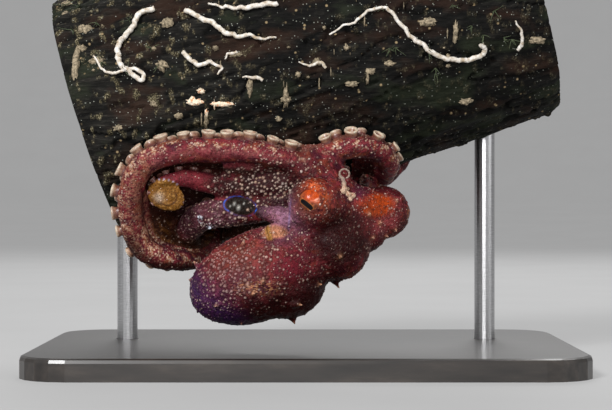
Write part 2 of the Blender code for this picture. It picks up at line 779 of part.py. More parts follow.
def body_nodes():
    """The mantle and the head, parted at the nape, with room for the eyes and the funnel."""
    body = softened("head", body_pieces(), BODY_TRIANGLES)
    mantle = body.copy()
    mantle.data = body.data.copy()
    mantle.name = "mantle"
    bpy.context.scene.collection.objects.link(mantle)

    nape = NAPE_POINT * MM
    cut(mantle, block(nape - NAPE_FACE * GAP / 2, NAPE_FACE, *NAPE_BLOCK))
    cut(body, block(nape + NAPE_FACE * GAP / 2, -NAPE_FACE, *NAPE_BLOCK))
    face = CROWN_POINT * MM - CROWN_FACE * GAP / 2
    cut(body, block(face, CROWN_FACE, *OVER_THE_HEAD))
    cut(mantle, funnel("funnel_room", GAP / MM))
    cut(body, funnel("funnel_room", GAP / MM))

    right_gaze = mirrored(LEFT_GAZE)
    tree = BVHTree.FromObject(body, bpy.context.evaluated_depsgraph_get())
    soft_points = [curled_papilla(tree), *near_papillae(tree, HEAD_PAPILLAE)]
    fused("head", [body, lid(LEFT_MOUND, LEFT_GAZE), lid(RIGHT_MOUND, right_gaze), *soft_points])
    cut(body, socket(LEFT_MOUND, LEFT_GAZE), socket(RIGHT_MOUND, right_gaze))
    tree = BVHTree.FromObject(mantle, bpy.context.evaluated_depsgraph_get())
    soft_points = near_papillae(tree, MANTLE_PAPILLAE) + far_papillae(tree, random.Random(SEED))
    fused("mantle", [mantle, *soft_points])
    return [mantle, body]


# Log and stand


def log_node():
    """The log, its ends cut square, with a hole for each rod."""
    rings = []
    for i in range(LOG_RINGS + 1):
        along = LOG_LENGTH * (i / LOG_RINGS - 0.5)
        ring = []
        for k in range(LOG_SIDES):
            turn = 2 * math.pi * k / LOG_SIDES
            ring.append(LOG_CENTRE + ALONG * along + out_of_log(turn) * bark_radius(along, turn))
        rings.append(ring)
    log = loft("log_perch", rings)
    for side in (-1, 1):
        low, high = rod_ends(side)
        room = high + Vector((0, 0, GAP))
        cut(log, cone("hole", low, room, [ROD_RADIUS + GAP] * 2))
    return log


def rod_ends(side):
    """A rod's foot in the base and its head in the log."""
    x = side * ROD_X
    foot = Vector((x, ROD_Y, BASE_SIZE.z - ROD_SINK_BASE))
    across = ROD_Y - LOG_CENTRE.y
    depth = math.sqrt(LOG_RADIUS**2 - across**2)
    along = x / math.cos(LOG_TILT)
    bark = LOG_CENTRE.z + along * math.sin(LOG_TILT) - depth / math.cos(LOG_TILT)
    return foot, Vector((x, ROD_Y, bark + ROD_SINK_LOG))


def stand_nodes():
    """The flat base with rounded corners and two rods."""
    bm = bmesh.new()
    bmesh.ops.create_cube(bm, size=1)
    place = Matrix.Translation((0, 0, BASE_SIZE.z / 2)) @ Matrix.Diagonal((*BASE_SIZE, 1))
    bmesh.ops.transform(bm, matrix=place, verts=bm.verts)
    upright = [e for e in bm.edges if abs(e.verts[0].co.z - e.verts[1].co.z) > BASE_SIZE.z / 2]
    bmesh.ops.bevel(bm, geom=upright, offset=BASE_CORNER, segments=5, affect="EDGES", profile=0.5)
    rim = [e for e in bm.edges if min(v.co.z for v in e.verts) > BASE_SIZE.z - 1e-6]
    bmesh.ops.bevel(bm, geom=rim, offset=BASE_BEVEL, segments=2, affect="EDGES", profile=0.5)
    base = new_object("stand_base", bm)
    rods = []
    for side, name in ((-1, "stand_rod_left"), (1, "stand_rod_right")):
        foot, head = rod_ends(side)
        over = foot + Vector((0, 0, 20 * MM))
        cut(base, cone("hole", foot - Vector((0, 0, GAP)), over, [ROD_RADIUS + GAP] * 2))
        rods.append(cone(name, foot, head, [ROD_RADIUS] * 2, sides=20))
    return [base, *rods]


# Materials


def material(name, colour, roughness, metallic=0.0):
    made = bpy.data.materials.new(name)
    made.use_nodes = True
    shader = made.node_tree.nodes["Principled BSDF"]
    shader.inputs["Base Color"].default_value = (*colour, 1)
    shader.inputs["Roughness"].default_value = roughness
    shader.inputs["Metallic"].default_value = metallic
    made.diffuse_color = (*colour, 1)
    return made


def finish(objects, made):
    for obj in objects:
        obj.data.materials.clear()
        obj.data.materials.append(made)
        obj.data.shade_smooth()
        obj.data.set_sharp_from_angle(angle=math.radians(50))


def main():
    for obj in list(bpy.data.objects):
        bpy.data.objects.remove(obj)
    arms = {name: Arm(**facts) for name, facts in ARMS.items()}
    flesh = body_nodes()
    flesh.append(crown_node(arms))
    for name, arm in arms.items():
        flesh += arm_nodes(name, arm)
    flesh.append(funnel("funnel"))
    eyes = [
        eye("eye_left", LEFT_MOUND, LEFT_GAZE, LEFT_PUPIL, LEFT_SLIT),
        eye("eye_right", RIGHT_MOUND, *[mirrored(way) for way in (LEFT_GAZE, LEFT_PUPIL, LEFT_SLIT)]),
    ]
    finish(flesh, material("octopus_skin", (0.22, 0.045, 0.05), 0.45))
    finish(eyes, material("octopus_eye", (0.55, 0.18, 0.05), 0.15))
    finish([log_node()], material("wet_wood", (0.07, 0.055, 0.045), 0.75))
    finish(stand_nodes(), material("stand_black", (0.03, 0.03, 0.03), 0.35))

    model = bpy.data.collections.new("mototi_octopus")
    bpy.context.scene.collection.children.link(model)
    for obj in list(bpy.context.scene.collection.objects):
        model.objects.link(obj)
        bpy.context.scene.collection.objects.unlink(obj)


main()
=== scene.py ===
"""The looks of the mototi octopus that clings under a cut log, on its display stand.

Lengths are millimetres in the named values and metres in the scene. The camera looks along +Y. Places on the log
are given along its axis, round it (0 degrees straight down, 90 towards the camera) and above its bark.
"""

import json
import math
import random

import bmesh
import bpy
import numpy as np
from mathutils import Matrix, Quaternion, Vector, kdtree, noise
from mathutils.bvhtree import BVHTree

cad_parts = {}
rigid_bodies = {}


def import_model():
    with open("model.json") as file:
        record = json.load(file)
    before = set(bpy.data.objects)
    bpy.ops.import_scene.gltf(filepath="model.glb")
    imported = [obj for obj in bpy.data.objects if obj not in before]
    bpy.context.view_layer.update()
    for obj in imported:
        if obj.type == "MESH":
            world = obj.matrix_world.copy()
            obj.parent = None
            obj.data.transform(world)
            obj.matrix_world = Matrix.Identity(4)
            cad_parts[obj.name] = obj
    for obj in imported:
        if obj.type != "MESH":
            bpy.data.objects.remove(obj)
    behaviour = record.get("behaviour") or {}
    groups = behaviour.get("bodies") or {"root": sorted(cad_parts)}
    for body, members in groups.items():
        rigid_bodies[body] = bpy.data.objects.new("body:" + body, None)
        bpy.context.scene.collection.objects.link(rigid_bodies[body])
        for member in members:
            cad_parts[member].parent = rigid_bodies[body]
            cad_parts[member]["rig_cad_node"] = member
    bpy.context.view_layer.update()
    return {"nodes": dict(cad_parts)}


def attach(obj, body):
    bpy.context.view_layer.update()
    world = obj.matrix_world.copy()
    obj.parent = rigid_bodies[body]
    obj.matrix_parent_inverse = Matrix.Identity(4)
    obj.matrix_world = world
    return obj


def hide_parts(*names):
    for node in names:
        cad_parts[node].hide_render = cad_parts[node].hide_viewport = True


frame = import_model()

MM = 0.001

# The photograph's frame, at the octopus's depth.
PHOTO_SIZE = (612, 410)
PIXEL = 0.27  # millimetres to a pixel
CAMERA_HEIGHT = 45.6
CAMERA_DISTANCE = 450
FOCUS_Y = -30
SENSOR = 36

# The log and the body, as in the solids.
LOG_RADIUS = 38
LOG_LENGTH = 130
LOG_TILT = math.radians(17.7)
LOG_CENTRE = Vector((0, 7, 89))

MANTLE_CENTRE = Vector((-11.9, -29, 26.8))
MANTLE_HALF = Vector((20.6, 13.4, 12.4))
MANTLE_DROOP = math.radians(21)
HEAD_BALLS = {
    "skull": ((9.2, -27, 42), (10, 9.6, 11)),
    "nape": ((7.2, -28, 34.8), (10.4, 10.4, 10.2)),
    "mantle_rear": ((-5.5, -28.6, 25.5), (11.0, 11.6, 10.8)),
    "right_cheek": ((15.6, -24.5, 39.2), (6.8, 6.8, 6.8)),
    "left_cheek": ((2.6, -32.2, 40.6), (6.4, 6.2, 6.6)),
}
MOUND_HALF = (7.3, 7.0, 7.3)
LEFT_MOUND = Vector((2.3, -35.6, 45.9))
RIGHT_MOUND = Vector((21.2, -22.2, 43.6))
MOUND_ROOT = Vector((10.5, -27, 43))
ACROSS = Vector((0.797, 0.593, -0.106)).normalized()
LEFT_GAZE = Vector((-0.21, -0.96, 0.165)).normalized()
LEFT_PUPIL = Vector((-0.36, -0.92, -0.16)).normalized()
LEFT_SLIT = Vector((0.77, -0.20, -0.62)).normalized()
EYE_RADIUS = 4.1
EYE_SET = 3.3
PUPIL_HALF = (2.0, 0.68)  # the black bar's half-sizes
LID_HALF = (3.0, 2.55)  # the opening's half-sizes along the slit and across it
LID_HEIGHT = 0.16
LID_DEPTH = 1.5

CROWN_CENTRE = Vector((1.6, -25.0, 55.6))
CROWN_HALF = (9.0, 7.2, 6.6)
NECK_RADII = (8.6, 7.6)
FUNNEL_ROOT = Vector((-3.0, -31.5, 41.4))
FUNNEL_TIP = Vector((-13.2, -33.8, 44.2))
FUNNEL_RADII = (5.0, 1.7)
PAD_CENTRE = Vector((-8.4, -35.4, 38.0))
PAD_HALF = (3.9, 2.2, 2.7)

CURL = dict(along=-48.4, degrees=54.1, lift=8.8, outer=3.8, inner=0.6, turns=0.8, start=85, lean=0.5)


def curl_route(along, degrees, lift, outer, inner, turns, start, lean, steps=18):
    """A flat spiral over the bark, leaning so that its lower edge stands further out."""
    points = []
    for i in range(steps + 1):
        share = i / steps
        angle = math.radians(start + 360 * turns * share)
        reach = outer + (inner - outer) * share
        rise = reach * math.sin(angle)
        round_log = math.degrees(rise * math.sqrt(1 - lean**2) / (LOG_RADIUS + lift))
        points.append((along + reach * math.cos(angle), degrees + round_log, lift - lean * rise))
    return points


# Each arm's route over the log, as in the solids, with its radii at the root and the tip.
ARMS = {
    "arm_left_1": dict(
        route=[
            (-8.4, 45.5, 7.0), (-13.6, 51.3, 7.5), (-23.2, 58.6, 5.9), (-34.7, 64.3, 5.6), (-45.3, 67.5, 5.6),
            (-52.3, 65.4, 5.6), (-57.3, 57.0, 5.6), (-59.6, 46.5, 5.8), (-59.9, 38.5, 8.2), (-58.2, 34.0, 10.8),
            (-55.0, 31.0, 12.8), (-51.0, 27.0, 13.4), (-46.5, 20.5, 12.8), (-42.5, 12.5, 11.8),
        ],
        radii=(3.75, 0.8), thinning=8, roll=(-50, -60), sucker_step=0.74, suckers_from=5, web_to=30.2,
    ),
    "arm_left_2": dict(
        route=[
            (-8.6, 44.1, 7.0), (-15.1, 45.2, 9.0), (-22.2, 44.6, 8.5), (-28.7, 46.2, 7.2), (-35.6, 50.5, 6.0),
            (-42.1, 56.2, 6.2), *curl_route(**CURL),
        ],
        radii=(3.6, 0.6), thinning=2.3, roll=(38, -120), sucker_step=0.74, suckers_from=28, web_to=30.2,
    ),
    "arm_left_3": dict(
        route=[
            (-8.9, 43.5, 8.0), (-13.5, 41.0, 11.0), (-21.1, 39.6, 12.0), (-28.5, 40.2, 11.2), (-34.5, 41.5, 10.4),
            (-38.2, 41.6, 9.6), (-41.9, 39.8, 8.4), (-45.2, 35.1, 7.4), (-47.2, 28.2, 7.0), (-46.3, 19.5, 6.8),
            (-43.8, 11.0, 6.8),
        ],
        radii=(4.2, 1.0), thinning=4.5, roll=(45, 20), sucker_step=0.76, suckers_from=31, web_to=30.2,
    ),
    "arm_left_4": dict(
        route=[
            (-8.4, 43.0, 7.0), (-15.8, 34.0, 7.0), (-24.5, 25.5, 7.0), (-30.8, 21.0, 7.0), (-35.0, 13.5, 6.4),
            (-37.8, 4.5, 5.8), (-40.5, -6.5, 5.2), (-42.0, -19.0, 5.0), (-41.0, -34.0, 4.8), (-42.0, -47.0, 4.3),
            (-49.0, -55.0, 3.4),
        ],
        radii=(3.5, 0.6), thinning=2.2, roll=(0, 10), sucker_step=0.9, suckers_from=14, web_to=23.2,
    ),
    "arm_right_4": dict(
        route=[
            (-8.4, 42.5, 7.0), (-12.0, 31.0, 6.4), (-18.0, 20.0, 5.8), (-19.5, 7.0, 5.4), (-17.5, -9.0, 5.2),
            (-12.5, -26.0, 5.0), (-7.0, -41.0, 4.8), (-8.0, -56.0, 4.2), (-16.0, -64.0, 3.4),
        ],
        radii=(3.1, 0.6), thinning=2.2, roll=(0, 10), sucker_step=0.9, suckers_from=14, web_to=15.2,
    ),
    "arm_right_3": dict(
        route=[
            (-8.4, 43.0, 7.0), (-7.2, 32.0, 6.4), (-9.6, 20.5, 5.8), (-9.4, 8.0, 5.4), (-6.5, -6.0, 5.2),
            (0.5, -20.0, 5.0), (7.5, -34.0, 4.8), (9.0, -50.0, 4.2), (2.0, -61.0, 3.4),
        ],
        radii=(3.1, 0.6), thinning=2.2, roll=(0, -10), sucker_step=0.9, suckers_from=14, web_to=15.2,
    ),
    "arm_right_2": dict(
        route=[
            (-8.4, 44.0, 7.0), (-2.5, 36.0, 6.3), (-1.4, 24.0, 5.6), (0.3, 10.0, 5.3), (4.5, -3.0, 5.2),
            (10.5, -15.0, 5.0), (18.0, -27.0, 4.8), (24.0, -39.0, 4.2), (21.0, -50.0, 3.2),
        ],
        radii=(3.1, 0.6), thinning=2.2, roll=(0, -15), sucker_step=0.9, suckers_from=14, web_to=15.2,
    ),
    "arm_right_1": dict(
        route=[
            (-7.1, 46.3, 7.0), (-2.7, 47.6, 6.0), (3.0, 46.9, 5.6), (8.1, 43.6, 5.4), (11.3, 38.4, 5.2),
            (12.3, 29.7, 5.2), (10.4, 20.2, 5.2), (7.3, 16.9, 5.4), (5.0, 23.5, 6.4), (5.2, 31.0, 7.2),
        ],
        radii=(3.8, 0.8), thinning=2.0, roll=(50, 60), sucker_step=0.8, suckers_from=5, web_to=12.2,
    ),
}
ROUND_THE_MOUTH = (
    "arm_left_1", "arm_left_2", "arm_left_3", "arm_left_4", "arm_right_4", "arm_right_3", "arm_right_2", "arm_right_1",
)
WEB_THICKNESS = 1.5
CURL_FILL = (5.3, 1.3, 3.9)  # half-sizes of the flesh in the middle of the second arm's coil
CURL_TILT = 0.42
WEB_HOLLOW = 0.15
ROLL_DELAY = 3  # an arm turns mostly near its tip
ORAL_FLAT = 0.9

SUCKER_WIDTH = 1.02  # a sucker's diameter, in arm radii
SUCKER_RISE = 1.35  # how far its section is drawn out of the arm
SUCKER_ROW_ANGLE = 27
SUCKER_SIDES = 20
# Its section from its root to the middle of its cup: (out, up) in sucker radii.
SUCKER_SECTION = (
    (1.00, -0.60), (0.92, -0.15), (0.84, 0.15), (0.84, 0.36), (0.92, 0.50), (0.99, 0.61), (1.00, 0.71),
    (0.95, 0.79), (0.85, 0.82), (0.74, 0.79), (0.62, 0.70), (0.50, 0.60), (0.38, 0.50), (0.28, 0.40), (0.14, 0.32),
)

# Papillae: where each stands as (X, Z), the way it leans as (X, Z), and its height.
PAPILLAE = (
    ((-30.6, 30.1), (-0.6, 0.5), 2.0), ((-31.4, 25.4), (-0.6, -0.2), 0.9), ((-17.3, 14.3), (0, -0.8), 1.1),
    ((-3.6, 15.0), (0.2, -0.9), 1.9), ((8.2, 24.0), (0.5, -0.6), 2.0), ((-2.4, 19.4), (0.5, 0.3), 1.9),
    ((-23.5, 19.2), (-0.3, -0.2), 1.3), ((3.2, 24.4), (0.2, 0.2), 1.3), ((-14.2, 22.2), (0.4, 0.4), 1.6),
    ((25.2, 37.2), (0.5, -0.8), 1.1), ((18.0, 37.0), (0.0, -0.5), 1.0), ((21.8, 37.3), (0.2, -0.4), 0.8),
    ((9.0, 32.2), (0.3, -0.3), 0.9),
    ((-16.7, 34.6), (0.5, 0.9), 1.7), ((-15.0, 24.0), (-0.5, 0.3), 0.8), ((-11.5, 25.4), (0.5, 0.3), 0.9),
    ((24.5, 46.8), (0.5, 0.4), 0.8), ((17.0, 43.2), (0.1, 0.2), 0.6), ((20.0, 41.0), (0.2, -0.4), 0.7),
)
# Two more, which hang from the third left arm like drops.
DROPS = (((-28.9, 42.9), (0.1, -1.2), 1.5), ((-26.2, 40.4), (0.1, -1.2), 1.5))
FAR_PAPILLAE = 16  # on the side of the mantle towards the log
CURL_ROOT = (10.6, 49.0)  # the curled papilla beside the left eye
CURL_STEM = 3.6
CURL_LOOP = 1.3
CURL_RADII = (0.8, 0.27)

GRANULES = 52000  # tried; those too close to another are left out
GRANULE_RADII = (0.15, 0.34)
GRANULE_SPACING = 2.3  # in granule radii

# The webs that the two loops hold: where each starts along its arm, and the pixel that it runs in to.
ROSY = ((-20, -38, 28), (12, 12, 8))  # where the mantle's granules are large and pink: middle, reach
DOTTED_FOLD = ((-19.5, -30, 51.5), (8, 14, 4.4))  # dark skin with pale granules left of the crown: middle, reach
LOOPS = {"arm_left_1": (20, (220, 221)), "arm_right_1": (12, (352, 181))}
LOOP_CLEARANCE = 1.3
LOOP_THICKNESS = 1.7

# The skin's mesh.
CORE_VOXEL = 0.5
SKIN_VOXEL = 0.23
CORE_SMOOTHING = 14
SKIN_SMOOTHING = 3

ALONG = Vector((math.cos(LOG_TILT), 0, math.sin(LOG_TILT)))
DOWN = Vector((math.sin(LOG_TILT), 0, -math.cos(LOG_TILT)))
FRONT = Vector((0, -1, 0))


def at(x, y, z):
    return Vector((x, y, z)) * MM


def pixel(px, py):
    """The (X, Z), in mm, of a photograph pixel at the octopus's depth."""
    x = (px - PHOTO_SIZE[0] / 2) * PIXEL
    z = CAMERA_HEIGHT + (PHOTO_SIZE[1] / 2 - py) * PIXEL
    return x, z


def bark_radius(along, turn):
    """The log's radius, in mm, at a place along it, in mm, and round it, in radians."""
    swell = 0.5 * math.sin(along / 21 + 0.7) * math.cos(turn * 2 + 0.4)
    furrow = 0.35 * math.sin(turn * 11 + 1.3 * math.sin(along / 17))
    return LOG_RADIUS + swell + furrow


def out_of_log(turn):
    return DOWN * math.cos(turn) + FRONT * math.sin(turn)


def on_log(along, degrees, lift):
    turn = math.radians(degrees)
    return (LOG_CENTRE + ALONG * along + out_of_log(turn) * (bark_radius(along, turn) + lift)) * MM


# Mesh helpers


def new_object(name, bm):
    mesh = bpy.data.meshes.new(name)
    bmesh.ops.recalc_face_normals(bm, faces=bm.faces)
    bm.to_mesh(mesh)
    bm.free()
    obj = bpy.data.objects.new(name, mesh)
    bpy.context.scene.collection.objects.link(obj)
    return obj


def mesh_object(name, vertices, faces, smooth=True):
    """An object from arrays of places, in metres, and faces."""
    mesh = bpy.data.meshes.new(name)
    mesh.from_pydata([tuple(v) for v in vertices], [], faces)
    if smooth:
        mesh.shade_smooth()
    obj = bpy.data.objects.new(name, mesh)
    bpy.context.scene.collection.objects.link(obj)
    return obj


def loft(name, rings):
    bm = bmesh.new()
    loops = [[bm.verts.new(point) for point in ring] for ring in rings]
    count = len(rings[0])
    for low, high in zip(loops, loops[1:]):
        for i in range(count):
            j = (i + 1) % count
            bm.faces.new((low[i], low[j], high[j], high[i]))
    for end in (loops[0][::-1], loops[-1]):
        bm.faces.new(end)
    return new_object(name, bm)


def ball(name, centre, half, turn=None, sides=64):
    bm = bmesh.new()
    place = Matrix.Translation(Vector(centre) * MM) @ (turn or Matrix.Identity(4))
    size = Matrix.Diagonal((*[h * MM for h in half], 1))
    bmesh.ops.create_uvsphere(bm, u_segments=sides, v_segments=sides // 2, radius=1, matrix=place @ size)
    return new_object(name, bm)


def pointing(direction, up=Vector((0, 0, 1))):
    z = direction.normalized()
    x = up.cross(z).normalized()
    y = z.cross(x)
    return Matrix((x, y, z)).transposed().to_4x4()


def cone(name, root, tip, radii, sides=48):
    bm = bmesh.new()
    axis = tip - root
    up = Vector((0, 0, 1)) if abs(axis.normalized().z) < 0.9 else Vector((0, 1, 0))
    place = Matrix.Translation((root + tip) / 2) @ pointing(axis, up)
    bmesh.ops.create_cone(
        bm, cap_ends=True, segments=sides, radius1=radii[0], radius2=radii[1], depth=axis.length, matrix=place
    )
    return new_object(name, bm)


def remove(*objects):
    for obj in objects:
        bpy.data.objects.remove(obj)


def apply_modifiers(obj):
    graph = bpy.context.evaluated_depsgraph_get()
    graph.update()
    mesh = bpy.data.meshes.new_from_object(obj.evaluated_get(graph))
    obj.modifiers.clear()
    obj.data = mesh
    return obj


def remeshed(name, pieces, voxel, smoothing):
    """One closed skin over overlapping pieces."""
    bm = bmesh.new()
    for piece in pieces:
        bm.from_mesh(piece.data)
    body = new_object(name, bm)
    remove(*pieces)
    remesh = body.modifiers.new("remesh", "REMESH")
    remesh.mode = "VOXEL"
    remesh.voxel_size = voxel * MM
    smooth = body.modifiers.new("smooth", "SMOOTH")
    smooth.factor = 0.5
    smooth.iterations = smoothing
    return apply_modifiers(body)


def positions(obj):
    """The vertices' places in mm, as an array."""
    places = np.empty(len(obj.data.vertices) * 3, np.float32)
    obj.data.vertices.foreach_get("co", places)
    return places.reshape(-1, 3).astype(float) / MM


def normals(obj):
    ways = np.empty(len(obj.data.vertices) * 3, np.float32)
    obj.data.vertex_normals.foreach_get("vector", ways)
    return ways.reshape(-1, 3).astype(float)


def place_vertices(obj, places):
    obj.data.vertices.foreach_set("co", (places * MM).astype(np.float32).ravel())
    obj.data.update()


def set_mask(obj, name, values):
    """Stores one number per vertex for the materials to read."""
    mask = obj.data.attributes.new(name, "FLOAT", "POINT")
    mask.data.foreach_set("value", np.clip(values, 0, 1).astype(np.float32))


def noise_at(places, scale, seed=0.0):
    """Smooth noise from -1 to 1 at places in mm, with features about that many mm across."""
    shift = Vector((seed * 17.3, seed * 5.1, seed * 9.7))
    stretch = np.asarray(scale, float) * np.ones(3)
    return np.array([noise.noise(Vector(p) + shift) for p in places / stretch])


def spot(places, centre, radius):
    """A soft spot: 1 at its centre and fading out over its radius, which may differ along X, Y and Z."""
    away = (places - np.array(centre)) / np.array(radius)
    return np.exp(-np.sum(away**2, axis=1))


def ramp(values, low, high):
    """0 below low, 1 above high, and smooth between."""
    share = np.clip((values - low) / (high - low), 0, 1)
    return share * share * (3 - 2 * share)


# Arms


def smooth_route(points, steps=12):
    padded = [2 * np.array(points[0]) - np.array(points[1]), *map(np.array, points)]
    padded.append(2 * np.array(points[-1]) - np.array(points[-2]))
    curve = []
    for a, b, c, d in zip(padded, padded[1:], padded[2:], padded[3:]):
        for i in range(steps):
            t = i / steps
            curve.append(
                0.5 * (2 * b + (c - a) * t + (2 * a - 5 * b + 4 * c - d) * t**2 + (3 * b - a - 3 * c + d) * t**3)
            )
    curve.append(padded[-2])
    return curve


class Arm:
    """An arm's centre line and what it carries at any distance from the mouth, in millimetres."""

    def __init__(self, route, radii, thinning, roll, sucker_step, suckers_from, web_to):
        self.curve = smooth_route(route)
        self.places = [on_log(*point) / MM for point in self.curve]
        steps = [(b - a).length for a, b in zip(self.places, self.places[1:])]
        self.distances = np.concatenate([[0], np.cumsum(steps)])
        self.length = float(self.distances[-1])
        self.radii = radii
        self.thinning = thinning
        self.roll = roll
        self.sucker_step = sucker_step
        self.suckers_from = suckers_from
        self.web_to = web_to

    def _look_up(self, values, distance):
        return np.array([np.interp(distance, self.distances, v) for v in np.array(values).T])

    def place(self, distance):
        return Vector(self._look_up([list(p) for p in self.places], distance))

    def radius(self, distance):
        root, tip = self.radii
        return tip + (root - tip) * (1 - min(1, distance / self.length) ** self.thinning)

    def heading(self, distance):
        step = 0.6
        ahead = self.place(min(distance + step, self.length))
        return (ahead - self.place(max(distance - step, 0))).normalized()

    def oral(self, distance):
        """The way the suckers face: to the bark, rolled about the arm."""
        turn = math.radians(self._look_up(self.curve, distance)[1])
        heading = self.heading(distance)
        to_bark = -out_of_log(turn)
        to_bark = (to_bark - heading * to_bark.dot(heading)).normalized()
        share = (distance / self.length) ** ROLL_DELAY
        roll = math.radians(self.roll[0] + (self.roll[1] - self.roll[0]) * share)
        return Quaternion(heading, roll) @ to_bark

    def ring(self, distance, sides, shrink=1.0):
        """A ring of points round the arm: a little flat through the suckers, with an edge on each side of them."""
        centre, heading, oral = self.place(distance), self.heading(distance), self.oral(distance)
        across = heading.cross(oral)
        radius = self.radius(distance) * shrink
        points = []
        for i in range(sides):
            a = 2 * math.pi * (i + 0.5) / sides
            edge = 0.06 * math.exp(-((abs(math.remainder(a, 2 * math.pi)) - 1.05) / 0.25) ** 2)
            out = (1 + edge) * radius
            points.append((centre + (oral * ORAL_FLAT * math.cos(a) + across * math.sin(a)) * out) * MM)
        return points

    def tube(self, name, start, end, sides=28, step=0.45):
        """The arm from start to end, rounded off at its tip."""
        count = max(2, int((end - start) / step))
        stations = [start + (end - start) * i / count for i in range(count + 1)]
        rings = [self.ring(d, sides) for d in stations]
        if end >= self.length - 1e-6:
            centre, heading = self.place(self.length), self.heading(self.length)
            tip = self.radius(self.length)
            for angle in (25, 50, 72):
                a = math.radians(angle)
                shift = heading * tip * math.sin(a) * MM
                rings.append([centre * MM + (p - centre * MM) * math.cos(a) + shift for p in rings[count]])
        return loft(name, rings)


def sucker_places(arm):
    """(distance, row, radius) of every sucker, each row's between two of the other's."""
    distance = arm.suckers_from
    row = 1
    while distance < arm.length - 0.4:
        radius = arm.radius(distance)
        size = SUCKER_WIDTH * radius / 2
        yield distance, row, max(size, 0.28)
        distance += max(0.62, arm.sucker_step * radius)
        row = -row


def suckers(arms):
    """All the suckers as one mesh: cups with a rolled rim, faintly scalloped and no two alike."""
    rng = random.Random(11)
    vertices, faces, rim, root = [], [], [], []
    for name, arm in arms.items():
        hidden = name[-1] != "1"
        for distance, row, size in sucker_places(arm):
            # Painted shade: suckers on the hidden arms and along the first right arm's far end take the dark stem
            # colour all over.
            dark = hidden or (name == "arm_right_1" and distance > 28)
            heading = arm.heading(distance)
            axis = Quaternion(heading, row * math.radians(SUCKER_ROW_ANGLE)) @ arm.oral(distance)
            lean = Vector([rng.uniform(-0.12, 0.12) for _ in range(3)])
            axis = (axis + lean).normalized()
            base = arm.place(distance) + axis * arm.radius(distance) * ORAL_FLAT * 0.94
            turn = pointing(axis, heading)
            size = size * rng.uniform(0.92, 1.08)
            squeeze = rng.uniform(0.9, 1.0)
            phase = rng.uniform(0, 6.3)
            start = len(vertices)
            for out, up in SUCKER_SECTION:
                for k in range(SUCKER_SIDES):
                    a = 2 * math.pi * k / SUCKER_SIDES
                    scallop = 1 + 0.025 * math.sin(5 * a + phase) * (out > 0.7) * (up > 0.3)
                    flat = Vector((math.cos(a) * squeeze, math.sin(a), 0)) * out * scallop
                    vertices.append((base + turn @ (flat + Vector((0, 0, up * SUCKER_RISE))) * size) * MM)
                    rim.append(math.exp(-((up - 0.74) / 0.16) ** 2) * (out > 0.5))
                    root.append(1.0 if up < 0.2 else 0.85 * dark)
            vertices.append((base + turn @ Vector((0, 0, 0.26)) * size) * MM)
            rim.append(0.0)
            root.append(0.0)
            rows = len(SUCKER_SECTION)
            for r in range(rows - 1):
                for k in range(SUCKER_SIDES):
                    m = (k + 1) % SUCKER_SIDES
                    low, high = start + r * SUCKER_SIDES, start + (r + 1) * SUCKER_SIDES
                    faces.append((low + k, low + m, high + m, high + k))
            last, middle = start + (rows - 1) * SUCKER_SIDES, start + rows * SUCKER_SIDES
            for k in range(SUCKER_SIDES):
                faces.append((last + k, last + (k + 1) % SUCKER_SIDES, middle))
            floor = start
            faces.append(tuple(floor + k for k in reversed(range(SUCKER_SIDES))))
    made = mesh_object("suckers", vertices, faces)
    set_mask(made, "rim", np.array(rim))
    set_mask(made, "stem", np.array(root))
    return made


# Body


def web(first, second):
    """The membrane between two arms, its free edge curved in."""
    rows, columns = 26, 15
    bm = bmesh.new()
    grid = []
    for i in range(rows):
        row = []
        for k in range(columns):
            across = k / (columns - 1)
            share = i / (rows - 1) * (1 - WEB_HOLLOW * math.sin(math.pi * across))
            edges = [arm.place(arm.web_to * share) for arm in (first, second)]
            row.append(bm.verts.new(edges[0].lerp(edges[1], across) * MM))
        grid.append(row)
    for low, high in zip(grid, grid[1:]):
        for k in range(columns - 1):
            bm.faces.new((low[k], low[k + 1], high[k + 1], high[k]))
    bmesh.ops.remove_doubles(bm, verts=bm.verts, dist=1e-6)
    sheet = new_object("web", bm)
    shell = sheet.modifiers.new("shell", "SOLIDIFY")
    shell.thickness = WEB_THICKNESS * MM
    shell.offset = 0
    return apply_modifiers(sheet)


def loop_web(arm, start, hub_pixel):
    """The dished web inside an arm's loop, clear of the bark."""
    rows, columns = 70, 26
    along, degrees = on_photo(*hub_pixel, LOOP_CLEARANCE)
    hub = on_log(along, degrees, LOOP_CLEARANCE) / MM
    bm = bmesh.new()
    grid = []
    for i in range(rows):
        edge = arm.place(start + (arm.length - start) * i / (rows - 1))
        row = []
        for k in range(columns):
            place = edge.lerp(hub, k / (columns - 1))
            away = place - LOG_CENTRE
            axial = away.dot(ALONG)
            out = away - ALONG * axial
            turn = math.atan2(out.dot(FRONT), out.dot(DOWN))
            least = bark_radius(axial, turn) + LOOP_CLEARANCE
            if out.length < least:
                place = place + out.normalized() * (least - out.length)
            row.append(bm.verts.new(place * MM))
        grid.append(row)
    for low, high in zip(grid, grid[1:]):
        for k in range(columns - 1):
            bm.faces.new((low[k], low[k + 1], high[k + 1], high[k]))
    bmesh.ops.remove_doubles(bm, verts=bm.verts, dist=1e-6)
    sheet = new_object("loop_web", bm)
    shell = sheet.modifiers.new("shell", "SOLIDIFY")
    shell.thickness = LOOP_THICKNESS * MM
    shell.offset = 0
    return apply_modifiers(sheet)


def funnel():
    root, tip = FUNNEL_ROOT, FUNNEL_TIP
    axis = (tip - root).normalized()
    turn = pointing(axis)
    stretch = (tip - root).length
    wide, narrow = FUNNEL_RADII
    rings = []
    profile = [(i / 14, wide + (narrow - wide) * (i / 14) ** 0.8) for i in range(15)]
    profile += [(1.03, narrow * 0.92), (1.03, narrow * 0.6), (0.97, narrow * 0.45), (0.80, narrow * 0.4)]
    for share, radius in profile:
        centre = root + axis * stretch * share
        angles = [2 * math.pi * k / 32 for k in range(32)]
        rings.append([(centre + turn @ Vector((math.cos(a), math.sin(a) * 0.85, 0)) * radius) * MM for a in angles])
    return loft("funnel", rings)


